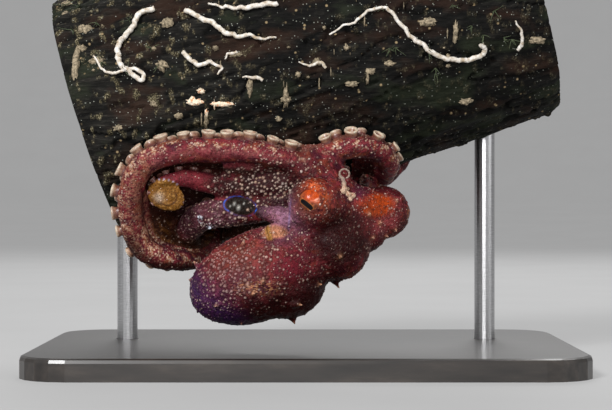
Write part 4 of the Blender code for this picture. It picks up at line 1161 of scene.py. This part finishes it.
def eyeball(name, eye):
    """An eye with a flat bar of a pupil, its iris coloured like the skin round it."""
    mound, gaze, pupil, slit = EYES[eye]
    centre = mound + gaze * EYE_SET
    obj = ball(name, centre, [EYE_RADIUS] * 3, pointing(gaze), sides=192)
    places = positions(obj)
    away = (places - np.array(centre)) / EYE_RADIUS
    p = np.array(pupil)
    s = np.array((slit - pupil * slit.dot(pupil)).normalized())
    t = np.cross(p, s)
    u, w = away @ s * EYE_RADIUS, away @ t * EYE_RADIUS
    w = w + 0.06 * u**2
    q = ((np.abs(u) / PUPIL_HALF[0]) ** 4 + (np.abs(w) / PUPIL_HALF[1]) ** 3) ** 0.3
    front = (away @ p) > 0
    angle = np.arctan2(w, u)
    fibres = noise_at(np.column_stack([np.cos(angle) * 9, np.sin(angle) * 9, q * 0.4]), 1.0, 3)
    fine = noise_at(places, 0.35, 4)
    freckles = noise_at(places, 0.7, 5)
    colours = np.tile(np.array((0.110, 0.030, 0.016)), (len(places), 1))
    colours = paint(colours, ramp(freckles + 0.6 * fine, 0.0, 0.4), (0.300, 0.080, 0.030), 0.8)
    rise = (places - np.array(centre) - np.array(pupil) * EYE_RADIUS) @ np.array((0.25, 0, 0.97))
    lit = ramp(rise + 0.35 * fibres, 0.3, 1.5) * np.exp(-(((places[:, 0] - 1.8) / 2.3) ** 4))
    colours = paint(colours, lit * (0.9 + 0.3 * fine), (0.50, 0.060, 0.006), 1.0)
    colours = paint(colours, lit * ramp(freckles + 0.5 * fibres, 0.12, 0.4), (0.20, 0.022, 0.006), 0.7)
    # Painted highlight: a pinkish-white glint on the left eye's orange.
    painted_glint = np.exp(-(((places[:, 0] - 2.6) / 0.7) ** 2) - ((rise - 2.0) / 0.9) ** 2) * ramp(fibres, -0.3, 0.2)
    colours = paint(colours, painted_glint * (eye == 'left'), (0.90, 0.45, 0.33), 0.8)
    colours = paint(colours, np.exp(-(((q - 1.12) / 0.10) ** 2)) * front, (0.42, 0.15, 0.03), 0.5)
    black = (1 - ramp(q, 0.93, 1.03)) * front
    colours = paint(colours, black, (0.002, 0.002, 0.003), 1.0)
    set_colours(obj, np.clip(colours * (1 + 0.15 * fine[:, None]), 0, 1))
    obj.data.shade_smooth()
    return obj


# The log


def bark_mesh():
    """The log: furrowed fibres along it, cracks, knots and two worn sawn ends."""
    rows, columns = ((460, 340))
    along = (np.arange(rows) / (rows - 1) - 0.5) * LOG_LENGTH
    turn = np.arange(columns) / columns * 2 * math.pi
    a, t = [g.ravel() for g in np.meshgrid(along, turn, indexing="ij")]
    round_x, round_y = np.cos(t) * LOG_RADIUS, np.sin(t) * LOG_RADIUS
    smooth = LOG_RADIUS + 0.5 * np.sin(a / 21 + 0.7) * np.cos(t * 2 + 0.4)
    smooth = smooth + 0.35 * np.sin(t * 11 + 1.3 * np.sin(a / 17))
    line = np.column_stack([a, round_x, round_y])
    warp = np.column_stack([noise_at(line, 9, 1), noise_at(line, 9, 2)]) * 1.6
    bent = line + np.column_stack([np.zeros(len(a)), warp])
    fibres = noise_at(bent, (9, 0.85, 0.85), 3)
    coarse = noise_at(bent, (22, 3.2, 3.2), 4)
    pits = noise_at(bent, (2.4, 1.3, 1.3), 5)
    crack = np.abs(noise_at(bent, (30, 4.5, 4.5), 6))
    cracks = 1 - ramp(crack, 0.015, 0.075)
    lumps = np.clip(noise_at(bent, 2.2, 7) + 0.5 * noise_at(bent, 1.0, 8) - 0.32, 0, 1)
    depth = 0.30 * fibres + 0.55 * coarse - 0.7 * np.clip(pits - 0.2, 0, 1) - 1.2 * cracks + 0.9 * lumps - 0.55
    edge = ramp(np.abs(a), LOG_LENGTH / 2 - 2.2, LOG_LENGTH / 2)
    depth -= edge * (0.8 + 0.5 * coarse)
    radius = smooth + depth
    out = np.outer(np.cos(t), np.array(DOWN)) + np.outer(np.sin(t), np.array(FRONT))
    places = np.array(LOG_CENTRE) + np.outer(a, np.array(ALONG)) + out * radius[:, None]
    faces = []
    for i in range(rows - 1):
        for k in range(columns):
            m = (k + 1) % columns
            low, high = i * columns, (i + 1) * columns
            faces.append((low + k, low + m, high + m, high + k))
    count = len(places)
    places = list(places)
    # The shade mask: the fibres' own tone, with the ridges painted paler and the cracks painted darker as light and
    # shade on the relief, and the bark darker towards the right end.
    darker = ramp(a, -45, 0)
    shade = list(0.5 - 0.3 * darker + 0.5 * np.clip(0.9 * fibres + 0.7 * coarse - 1.2 * cracks, -1, 1))
    ends = [0.0] * count
    growth_share = list(ramp(lumps, 0.02, 0.16) * (1 - 0.75 * darker))
    for side, first in ((-1, 0), (1, (rows - 1) * columns)):
        rim = np.array(places[first:first + columns])
        middle = np.array(LOG_CENTRE) + np.array(ALONG) * side * LOG_LENGTH / 2
        previous = [first + k for k in range(columns)]
        for share in np.linspace(0.97, 0.04, 34):
            ring = middle + (rim - middle) * share
            wobble = noise_at(ring, 7, 9)
            growth = np.sin(share * LOG_RADIUS * 3.1 + 4 * wobble)
            check = noise_at(np.column_stack([np.cos(turn) * 2.6, np.sin(turn) * 2.6, 0 * turn + 0.5 * share]), 1.0, 11)
            check = np.exp(-((check / 0.035) ** 2)) * ramp(share, 0.1, 0.4)
            saw = noise_at(ring, (1.2, 1.2, 14), 10)
            sink = 0.04 * growth + 0.22 * saw + 0.5 * check + 0.5 * ramp(-share, -0.12, -0.02)
            ring = ring - np.outer(sink, np.array(ALONG)) * side
            current = list(range(len(places), len(places) + columns))
            places += list(ring)
            # Growth rings and saw marks, with painted shade in the drying checks.
            shade += list(0.5 + 0.2 * growth + 0.35 * saw - 0.5 * check)
            ends += [1.0] * columns
            growth_share += [0.0] * columns
            for k in range(columns):
                m = (k + 1) % columns
                quad = (previous[k], previous[m], current[m], current[k])
                faces.append(quad if side > 0 else quad[::-1])
            previous = current
        faces.append(tuple(previous) if side > 0 else tuple(reversed(previous)))
    obj = mesh_object("log", np.array(places) * MM, faces)
    set_mask(obj, "shade", np.array(shade))
    set_mask(obj, "sawn", np.array(ends))
    set_mask(obj, "growth", np.array(growth_share))
    return obj


def on_photo(px, py, lift):
    """The (along mm, degrees) of the bark seen at a photograph pixel, that far above the log's surface, in mm."""
    x, z = pixel(px, py)
    z -= LOG_CENTRE.z
    along = x * math.cos(LOG_TILT) + z * math.sin(LOG_TILT)
    down = x * math.sin(LOG_TILT) - z * math.cos(LOG_TILT)
    share = max(-1.0, min(1.0, down / (LOG_RADIUS + lift)))
    return along, math.degrees(math.acos(share))


# White worm tubes that lie on the bark: pixels along each, and its radius in mm.
WORM_TUBES = (
    (((93, 54), (98, 62), (107, 74), (121, 71), (133, 69), (144, 74), (142, 80), (132, 74), (120, 64), (117, 50),
      (120, 40), (130, 25), (137, 10), (152, 4)), 0.66),
    (((276, 38), (262, 38), (250, 35), (235, 36), (215, 25), (195, 14), (184, 9)), 0.62),
    (((207, 2), (222, 6), (242, 7), (262, 5), (277, 2)), 0.62),
    (((330, 35), (341, 27), (354, 22), (368, 12), (385, 8), (397, 20), (410, 35), (424, 47), (442, 57), (462, 60),
      (480, 57), (486, 49), (481, 43)), 0.6),
    (((217, 75), (222, 69), (212, 63), (200, 65), (191, 61), (182, 51)), 0.56),
    (((225, 59), (230, 54), (237, 51)), 0.36),
    (((242, 78), (252, 77), (263, 80)), 0.42),
    (((515, 20), (522, 30), (524, 42), (519, 50)), 0.45),
    (((300, 62), (309, 66), (318, 64), (326, 68)), 0.4),
)
# Pale crusts on the bark: pixel, then half-sizes along and round the log in mm.
CRUSTS = (
    (195, 102, 2.7, 1.2), (222, 104, 3.3, 0.9), (201, 91, 1.2, 0.9), (206, 120, 0.6, 3.2), (162, 65, 1.7, 1.6),
    (317, 62, 1.2, 1.2), (236, 54, 2.0, 0.8), (154, 104, 1.3, 1.0), (96, 60, 2.2, 1.3),
    (428, 22, 2.6, 1.3), (352, 84, 2.0, 1.0), (80, 24, 2.2, 1.4), (470, 100, 2.2, 1.3), (286, 100, 1.6, 0.9),
    (540, 40, 2.4, 1.2), (118, 128, 1.5, 1.0), (390, 64, 1.7, 0.9), (74, 60, 1.1, 6.0), (286, 98, 0.8, 3.4),
    (456, 33, 0.8, 3.4), (368, 78, 0.5, 2.2), (166, 20, 2.0, 1.6), (250, 88, 0.9, 2.6),
)


def worm_tubes():
    """Chalky tubes that wind over the bark, ringed by growth and open at one end."""
    sides = 14
    rings_of_all = []
    for pixels, radius in WORM_TUBES:
        route = [(*on_photo(px, py, radius * 0.6), radius * 0.35) for px, py in pixels]
        line = [on_log(*point) / MM for point in smooth_route(route, 10)]
        line = [p + 0.55 * (noise.noise_vector(p * 0.42) + 0.5 * noise.noise_vector(p * 1.1)).cross(FRONT) for p in line]
        rings = []
        for i, place in enumerate(line):
            heading = line[min(i + 1, len(line) - 1)] - line[max(i - 1, 0)]
            turn = pointing(heading, Vector((0, 1, 0)))
            share = i / (len(line) - 1)
            width = radius * (0.36 + 0.74 * min(1, 1.6 * share)) * (1 + 0.07 * math.sin(i * 1.7) + 0.05 * math.sin(i * 0.6))
            rings.append([(place, turn, width, 2 * math.pi * k / sides) for k in range(sides)])
        for inner in (0.7, 0.5):
            rings.append([(place, turn, width * inner, 2 * math.pi * k / sides) for k in range(sides)])
        rings_of_all.append([
            [(place + turn @ Vector((math.cos(a), math.sin(a), 0)) * width) * MM for place, turn, width, a in ring]
            for ring in rings
        ])
    pieces = [loft("tube", rings) for rings in rings_of_all]
    return joined("worm_tubes", pieces)


def joined(name, pieces):
    bm = bmesh.new()
    for piece in pieces:
        bm.from_mesh(piece.data)
    remove(*pieces)
    obj = new_object(name, bm)
    obj.data.shade_smooth()
    return obj


def crusts():
    """Low crusts of coralline growth and small barnacles, lumpy and thin at the edge."""
    rng = random.Random(21)
    pieces = []
    places = [(*on_photo(px, py, 0), wide, tall) for px, py, wide, tall in CRUSTS]
    for _ in range(190):
        size = 0.25 + 0.85 * rng.random() ** 1.6
        drip = rng.random() < 0.45
        wide, tall = (0.3 * size, 2.2 * size) if drip else (size * rng.uniform(1, 1.6), size)
        places.append((rng.uniform(-62, 62), rng.uniform(62, 330), wide, tall))
    for k, (along, degrees, wide, tall) in enumerate(places):
        rows, columns = 9, 28
        bm = bmesh.new()
        rings = []
        for i in range(rows):
            share = i / (rows - 1)
            ring = []
            for m in range(columns):
                a = 2 * math.pi * m / columns
                ragged = noise.noise(Vector((math.cos(a) * 2.2 + k * 3, math.sin(a) * 2.2, 0)))
                reach = share * (1 + 0.6 * ragged)
                right, down = reach * wide * math.cos(a), reach * tall * math.sin(a)
                da = right * math.cos(LOG_TILT) - down * math.sin(LOG_TILT)
                dt = -right * math.sin(LOG_TILT) - down * math.cos(LOG_TILT)
                lump = 0.5 + 0.9 * noise.noise(Vector((along + da, degrees + dt, k)) * 1.9)
                height = min(0.65, 0.25 + 0.2 * min(wide, tall))
                lift = (0.3 + 0.8 * lump) * (1 - share**3) * height - 0.75 * share**4
                ring.append(bm.verts.new(on_log(along + da, degrees + math.degrees(dt / LOG_RADIUS), lift - 0.15)))
            rings.append(ring)
        for low, high in zip(rings, rings[1:]):
            for m in range(columns):
                n = (m + 1) % columns
                bm.faces.new((low[m], low[n], high[n], high[m]))
        bmesh.ops.remove_doubles(bm, verts=rings[0], dist=1e-6)
        pieces.append(new_object("crust", bm))
    obj = joined("crusts", pieces)
    middle = on_log(*on_photo(209, 101, 0), 0) / MM
    set_mask(obj, "bright", ramp(spot(positions(obj), middle, (7.5, 6, 3.2)), 0.15, 0.5))
    return obj


def algae():
    """Short tufts of dull green weed on the log's right end and underside."""
    rng = random.Random(8)
    pieces = []
    for _ in range(46):
        along, degrees = rng.uniform(18, 62), rng.uniform(60, 150)
        if rng.random() < 0.35:
            along, degrees = rng.uniform(-62, -30), rng.uniform(95, 160)
        root = on_log(along, degrees, -0.6) / MM
        out = out_of_log(math.radians(degrees))
        for _ in range(5):
            heading = (out + Vector([rng.uniform(-0.8, 0.8) for _ in range(3)]) + Vector((0, 0, -0.5))).normalized()
            length = rng.uniform(1.2, 3.6)
            sway = Vector([rng.uniform(-0.5, 0.5) for _ in range(3)])
            line = [root + heading * length * s + sway * length * s * s for s in (0, 0.25, 0.5, 0.75, 1)]
            rings = []
            for i, place in enumerate(line):
                turn = pointing(line[min(i + 1, 4)] - line[max(i - 1, 0)], Vector((0.3, 0.9, 0.1)))
                width = 0.13 * (1 - 0.75 * i / 4)
                angles = [2 * math.pi * k / 6 for k in range(6)]
                rings.append([(place + turn @ Vector((math.cos(a), math.sin(a), 0)) * width) * MM for a in angles])
            pieces.append(loft("frond", rings))
    return joined("algae", pieces)


# Materials


def new_material(name, roughness, **sockets):
    """A material and its shader, with the sockets that are the same all over the surface."""
    made = bpy.data.materials.new(name)
    made.use_nodes = True
    shader = made.node_tree.nodes["Principled BSDF"]
    shader.inputs["Roughness"].default_value = roughness
    for socket, value in sockets.items():
        shader.inputs[socket.replace("_", " ").title().replace("Ior", "IOR")].default_value = value
    return made, made.node_tree, shader


def texture(tree, kind, scale, stretch=(1, 1, 1), turn=0.0, **facts):
    """A texture node in the object's own millimetres: a scale of 1 has features about 1 mm across."""
    place = tree.nodes.new("ShaderNodeTexCoord")
    mapping = tree.nodes.new("ShaderNodeMapping")
    mapping.inputs["Rotation"].default_value = (0, turn, 0)
    mapping.inputs["Scale"].default_value = [1 / (MM * scale * s) for s in stretch]
    tree.links.new(place.outputs["Object"], mapping.inputs["Vector"])
    node = tree.nodes.new("ShaderNodeTex" + kind)
    node.inputs["Scale"].default_value = 1
    tree.links.new(mapping.outputs["Vector"], node.inputs["Vector"])
    for key, value in facts.items():
        if key in ("feature", "noise_dimensions"):
            setattr(node, key, value)
        else:
            node.inputs[key.title()].default_value = value
    return node


def ramp_node(tree, value, stops):
    """A colour ramp of (place, colour) stops fed by a socket; a number stands for a grey."""
    node = tree.nodes.new("ShaderNodeValToRGB")
    elements = node.color_ramp.elements
    while len(elements) < len(stops):
        elements.new(0.5)
    for element, (place, colour) in zip(elements, stops):
        element.position = place
        element.color = (*colour, 1) if isinstance(colour, tuple) else (colour, colour, colour, 1)
    tree.links.new(value, node.inputs["Fac"])
    return node.outputs["Color"]


def mix(tree, share, first, second, blend="MIX"):
    """Two colours mixed; each of the three may be a socket or a fixed value."""
    node = tree.nodes.new("ShaderNodeMix")
    node.data_type = "RGBA"
    node.blend_type = blend
    for index, value in ((0, share), (6, first), (7, second)):
        if isinstance(value, bpy.types.NodeSocket):
            tree.links.new(value, node.inputs[index])
        elif index:
            node.inputs[index].default_value = (*value, 1)
        else:
            node.inputs[index].default_value = value
    return node.outputs[2]


def attribute(tree, name, output="Fac"):
    node = tree.nodes.new("ShaderNodeAttribute")
    node.attribute_name = name
    return node.outputs[output]


def bump(tree, shader, height, depth, strength=1.0, before=None):
    """Feeds a height to the shader's normal; depth is in mm."""
    node = tree.nodes.new("ShaderNodeBump")
    node.inputs["Distance"].default_value = depth * MM
    node.inputs["Strength"].default_value = strength
    tree.links.new(height, node.inputs["Height"])
    if before is not None:
        tree.links.new(before, node.inputs["Normal"])
    tree.links.new(node.outputs["Normal"], shader.inputs["Normal"])
    return node.outputs["Normal"]


def flesh_material(name, freckles, roughness=0.42):
    """Moist skin over the painted colours: dark freckles, fine pale points and a pebbled grain."""
    made, tree, shader = new_material(name, roughness, coat_weight=0.02, coat_roughness=0.2, specular_ior_level=0.1)
    tint = attribute(tree, "tint", "Color")
    cells = texture(tree, "Voronoi", 0.52)
    dots = ramp_node(tree, cells.outputs["Distance"], ((0.16, 0.0), (0.42, 1.0)))
    mottled = mix(tree, freckles, tint, dots, "MULTIPLY")
    grain = texture(tree, "Noise", 0.28, detail=4.0)
    light = ramp_node(tree, grain.outputs["Fac"], ((0.3, 0.55), (0.7, 1.35)))
    mottled = mix(tree, 0.8, mottled, light, "MULTIPLY")
    specks = texture(tree, "Voronoi", 1.0, randomness=1.0)
    points = ramp_node(tree, specks.outputs["Distance"], ((0.09, 1.0), (0.17, 0.0)))
    chosen = ramp_node(tree, specks.outputs["Color"], ((0.45, 0.0), (0.7, 0.7)))
    both = mix(tree, 1.0, points, chosen, "MULTIPLY")
    # The pale points are left out where shade is painted.
    both = mix(tree, attribute(tree, "unspotted"), both, (0, 0, 0))
    mottled = mix(tree, both, mottled, (0.80, 0.58, 0.50))
    tree.links.new(mottled, shader.inputs["Base Color"])
    first = bump(tree, shader, cells.outputs["Distance"], 0.22, 0.8)
    bump(tree, shader, grain.outputs["Fac"], 0.28, 0.8, first)
    return made


def sucker_material():
    made, tree, shader = new_material("sucker_flesh", 0.4, coat_weight=0.25, coat_roughness=0.2, subsurface_weight=0.2)
    shader.inputs["Subsurface Radius"].default_value = (1.0, 0.55, 0.45)
    shader.inputs["Subsurface Scale"].default_value = 0.9 * MM
    patches = texture(tree, "Noise", 1.6, detail=3.0)
    body = ramp_node(tree, patches.outputs["Fac"], (
        (0.3, (0.105, 0.030, 0.020)), (0.48, (0.21, 0.085, 0.048)), (0.7, (0.40, 0.25, 0.155)),
    ))
    worn = ramp_node(tree, patches.outputs["Fac"], ((0.35, (0.34, 0.22, 0.155)), (0.6, (0.55, 0.46, 0.35))))
    body = mix(tree, attribute(tree, "rim"), body, worn)
    # The dark stem colour: the stalks' own, and painted shade over whole suckers on the hidden arms.
    body = mix(tree, attribute(tree, "stem"), body, (0.11, 0.030, 0.025))
    specks = texture(tree, "Voronoi", 0.45)
    dots = ramp_node(tree, specks.outputs["Distance"], ((0.12, 0.35), (0.3, 1.0)))
    body = mix(tree, 0.6, body, dots, "MULTIPLY")
    tree.links.new(body, shader.inputs["Base Color"])
    grain = texture(tree, "Noise", 0.25, detail=3.0)
    bump(tree, shader, grain.outputs["Fac"], 0.08, 0.6)
    return made


def eye_material():
    made, tree, shader = new_material("eye_glossy", 0.3, coat_weight=0.15, coat_roughness=0.08, specular_ior_level=0.1)
    tint = attribute(tree, "tint", "Color")
    grain = texture(tree, "Noise", 0.12, detail=3.0)
    light = ramp_node(tree, grain.outputs["Fac"], ((0.3, 0.75), (0.7, 1.2)))
    tree.links.new(mix(tree, 0.7, tint, light, "MULTIPLY"), shader.inputs["Base Color"])
    return made


def bark_material():
    """Waterlogged wood: dark fibres, ridges painted paler and cracks painted darker as light and shade, rusty and
    greenish stains, and growth rings at the ends.
    """
    made, tree, shader = new_material("waterlogged_wood", 0.82, specular_ior_level=0.15)
    fibres = texture(tree, "Noise", 0.6, stretch=(9, 1, 1), turn=LOG_TILT, detail=6.0, roughness=0.65)
    wood = ramp_node(tree, fibres.outputs["Fac"], (
        (0.28, (0.0015, 0.0015, 0.0012)), (0.46, (0.006, 0.0055, 0.0045)), (0.6, (0.016, 0.0145, 0.012)),
        (0.74, (0.062, 0.058, 0.046)),
    ))
    # Painted light and shade of the bark's relief, and its darker right end, from the shade mask.
    shade = ramp_node(tree, attribute(tree, "shade"), ((0.15, 0.25), (0.55, 0.95), (0.9, 1.45)))
    wood = mix(tree, 1.0, wood, shade, "MULTIPLY")
    stains = texture(tree, "Noise", 9, stretch=(2, 1, 1), turn=LOG_TILT, detail=4.0)
    rust = ramp_node(tree, stains.outputs["Fac"], ((0.54, 0.0), (0.68, 0.45)))
    wood = mix(tree, rust, wood, (0.040, 0.017, 0.009))
    green = ramp_node(tree, stains.outputs["Fac"], ((0.36, 0.55), (0.46, 0.0)))
    wood = mix(tree, green, wood, (0.020, 0.026, 0.013))
    moss = texture(tree, "Noise", 0.42, detail=5.0)
    moss = ramp_node(tree, moss.outputs["Fac"], (
        (0.4, (0.010, 0.009, 0.006)), (0.55, (0.085, 0.068, 0.034)), (0.68, (0.34, 0.30, 0.20)),
    ))
    wood = mix(tree, attribute(tree, "growth"), wood, moss)
    sawn = ramp_node(tree, fibres.outputs["Fac"], ((0.35, (0.07, 0.045, 0.028)), (0.7, (0.20, 0.14, 0.09))))
    sawn = mix(tree, 1.0, sawn, shade, "MULTIPLY")
    wood = mix(tree, attribute(tree, "sawn"), wood, sawn)
    grit = texture(tree, "Voronoi", 0.9, randomness=1.0)
    grains = ramp_node(tree, grit.outputs["Distance"], ((0.1, 1.0), (0.2, 0.0)))
    picked = ramp_node(tree, grit.outputs["Color"], ((0.6, 0.0), (0.7, 0.8)))
    wood = mix(tree, mix(tree, 1.0, grains, picked, "MULTIPLY"), wood, (0.34, 0.35, 0.30))
    shells = texture(tree, "Voronoi", 2.4, randomness=1.0)
    grains = ramp_node(tree, shells.outputs["Distance"], ((0.09, 1.0), (0.19, 0.0)))
    picked = ramp_node(tree, shells.outputs["Color"], ((0.6, 0.0), (0.68, 0.9)))
    wood = mix(tree, mix(tree, 1.0, grains, picked, "MULTIPLY"), wood, (0.30, 0.22, 0.12))
    tree.links.new(wood, shader.inputs["Base Color"])
    first = bump(tree, shader, fibres.outputs["Fac"], 0.5, 0.8)
    rough = texture(tree, "Noise", 0.35, detail=3.0)
    bump(tree, shader, rough.outputs["Fac"], 0.2, 0.6, first)
    return made


def chalk_material(name, low, high, patch=1.2):
    made, tree, shader = new_material(name, 0.75)
    patches = texture(tree, "Noise", patch, detail=5.0)
    colour = ramp_node(tree, patches.outputs["Fac"], ((0.3, low), (0.68, high)))
    bright = ramp_node(tree, patches.outputs["Fac"], ((0.38, (0.62, 0.25, 0.10)), (0.5, (0.80, 0.68, 0.52))))
    colour = mix(tree, attribute(tree, "bright"), colour, bright)
    tree.links.new(colour, shader.inputs["Base Color"])
    grain = texture(tree, "Noise", 0.3, detail=4.0)
    bump(tree, shader, grain.outputs["Fac"], 0.25, 0.7)
    return made


def base_material():
    """Black-stained wood under a thin satin lacquer, its grain along the base."""
    made, tree, shader = new_material("stained_wood", 0.38, coat_weight=0.35, coat_roughness=0.18)
    grain = texture(tree, "Noise", 1.1, stretch=(16, 1, 3), detail=6.0, roughness=0.6)
    colour = ramp_node(tree, grain.outputs["Fac"], (
        (0.3, (0.010, 0.008, 0.007)), (0.55, (0.024, 0.019, 0.016)), (0.75, (0.048, 0.038, 0.031)),
    ))
    tree.links.new(colour, shader.inputs["Base Color"])
    bump(tree, shader, grain.outputs["Fac"], 0.06, 0.5)
    return made


def rod_material():
    """Brushed steel, its fine scratches round the rod."""
    made, tree, shader = new_material("brushed_steel", 0.3, metallic=1.0)
    scratches = texture(tree, "Noise", 0.25, stretch=(8, 8, 0.5), detail=4.0)
    colour = ramp_node(tree, scratches.outputs["Fac"], ((0.3, (0.36, 0.36, 0.37)), (0.7, (0.58, 0.58, 0.59))))
    tree.links.new(colour, shader.inputs["Base Color"])
    bump(tree, shader, scratches.outputs["Fac"], 0.03, 0.4)
    return made


def dress(piece, made):
    """Gives a piece its material and slot, and lets it ride on the model."""
    piece.data.materials.clear()
    piece.data.materials.append(made)
    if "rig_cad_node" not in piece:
        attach(piece, "root")


# The studio


def studio():
    bm = bmesh.new()
    rings = []
    for radius, height in ((0.001, 0), (0.6, 0), (1.6, 0), (2.2, 0.05), (2.7, 0.3), (3.0, 0.8), (3.1, 1.6), (3.1, 2.6)):
        angles = [2 * math.pi * k / 96 for k in range(96)]
        rings.append([bm.verts.new((radius * math.cos(a), radius * math.sin(a), height)) for a in angles])
    for low, high in zip(rings, rings[1:]):
        for k in range(96):
            m = (k + 1) % 96
            bm.faces.new((low[k], low[m], high[m], high[k]))
    bmesh.ops.contextual_create(bm, geom=rings[0])
    floor = new_object("studio_floor", bm)
    floor.data.shade_smooth()
    made, tree, shader = new_material("studio_paper", 0.9, emission_strength=0.27)
    shader.inputs["Emission Color"].default_value = (1, 1, 1, 1)
    paper = texture(tree, "Noise", 60, detail=2.0)
    colour = ramp_node(tree, paper.outputs["Fac"], ((0.3, (0.21, 0.21, 0.21)), (0.7, (0.23, 0.23, 0.23))))
    tree.links.new(colour, shader.inputs["Base Color"])
    floor.data.materials.append(made)
    world = bpy.data.worlds.new("studio")
    world.use_nodes = True
    world.node_tree.nodes["Background"].inputs["Color"].default_value = (0.9, 0.92, 0.95, 1)
    world.node_tree.nodes["Background"].inputs["Strength"].default_value = 0.2
    bpy.context.scene.world = world
    bpy.context.scene.view_settings.view_transform = "Standard"
    for name, place, size, power in (
        ("key", (-0.42, -0.75, 0.62), 0.28, 10.5),
        ("fill", (0.75, -0.65, 0.3), 0.4, 2.2),
        ("rim", (0.1, 0.75, 0.7), 0.5, 5.0),
        ("low", (-0.05, -0.7, 0.14), 0.16, 0.95),
    ):
        light = bpy.data.lights.new(name, "AREA")
        light.size = size
        light.energy = power
        lamp = bpy.data.objects.new(name, light)
        lamp.location = place
        aim = Vector((0, -0.02, 0.05)) - Vector(place)
        lamp.rotation_euler = aim.to_track_quat("-Z", "Y").to_euler()
        bpy.context.scene.collection.objects.link(lamp)


def camera():
    width = PHOTO_SIZE[0] * PIXEL
    data = bpy.data.cameras.new("camera")
    data.sensor_width = SENSOR
    data.lens = SENSOR * CAMERA_DISTANCE / width
    data.clip_start = 0.01
    data.clip_end = 50
    view = bpy.data.objects.new("camera", data)
    view.location = at(0, FOCUS_Y - CAMERA_DISTANCE, CAMERA_HEIGHT)
    view.rotation_euler = (math.radians(90), 0, 0)
    bpy.context.scene.collection.objects.link(view)
    bpy.context.scene.camera = view


def main():
    arms = {name: Arm(**facts) for name, facts in ARMS.items()}
    skin = octopus_skin(arms)
    flesh_nodes = [name for name in frame["nodes"] if name.startswith("arm_") or name in ("mantle", "head", "funnel")]
    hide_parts(*flesh_nodes)
    dress(skin, flesh_material("octopus_skin", 0.55))
    dress(suckers(arms), sucker_material())
    curl = curled_papilla(skin)
    set_colours(curl, curl_colours(positions(curl)))
    curl.data.shade_smooth()
    dress(curl, flesh_material("papilla_flesh", 0.3, 0.5))
    glossy = eye_material()
    for eye in EYES:
        made = eyeball(f"eyeball_{eye}", eye)
        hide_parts(f"eye_{eye}")
        dress(made, glossy)
    log = bark_mesh()
    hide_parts("log_perch")
    dress(log, bark_material())
    dress(worm_tubes(), chalk_material("worm_tube_chalk", (0.36, 0.27, 0.17), (0.80, 0.77, 0.72)))
    dress(crusts(), chalk_material("crust_chalk", (0.050, 0.038, 0.020), (0.40, 0.32, 0.21), 0.6))
    dress(algae(), chalk_material("weed", (0.03, 0.045, 0.02), (0.09, 0.11, 0.05)))
    dress(bpy.data.objects["stand_base"], base_material())
    for side in ("left", "right"):
        dress(bpy.data.objects[f"stand_rod_{side}"], rod_material())
    studio()
    camera()


main()
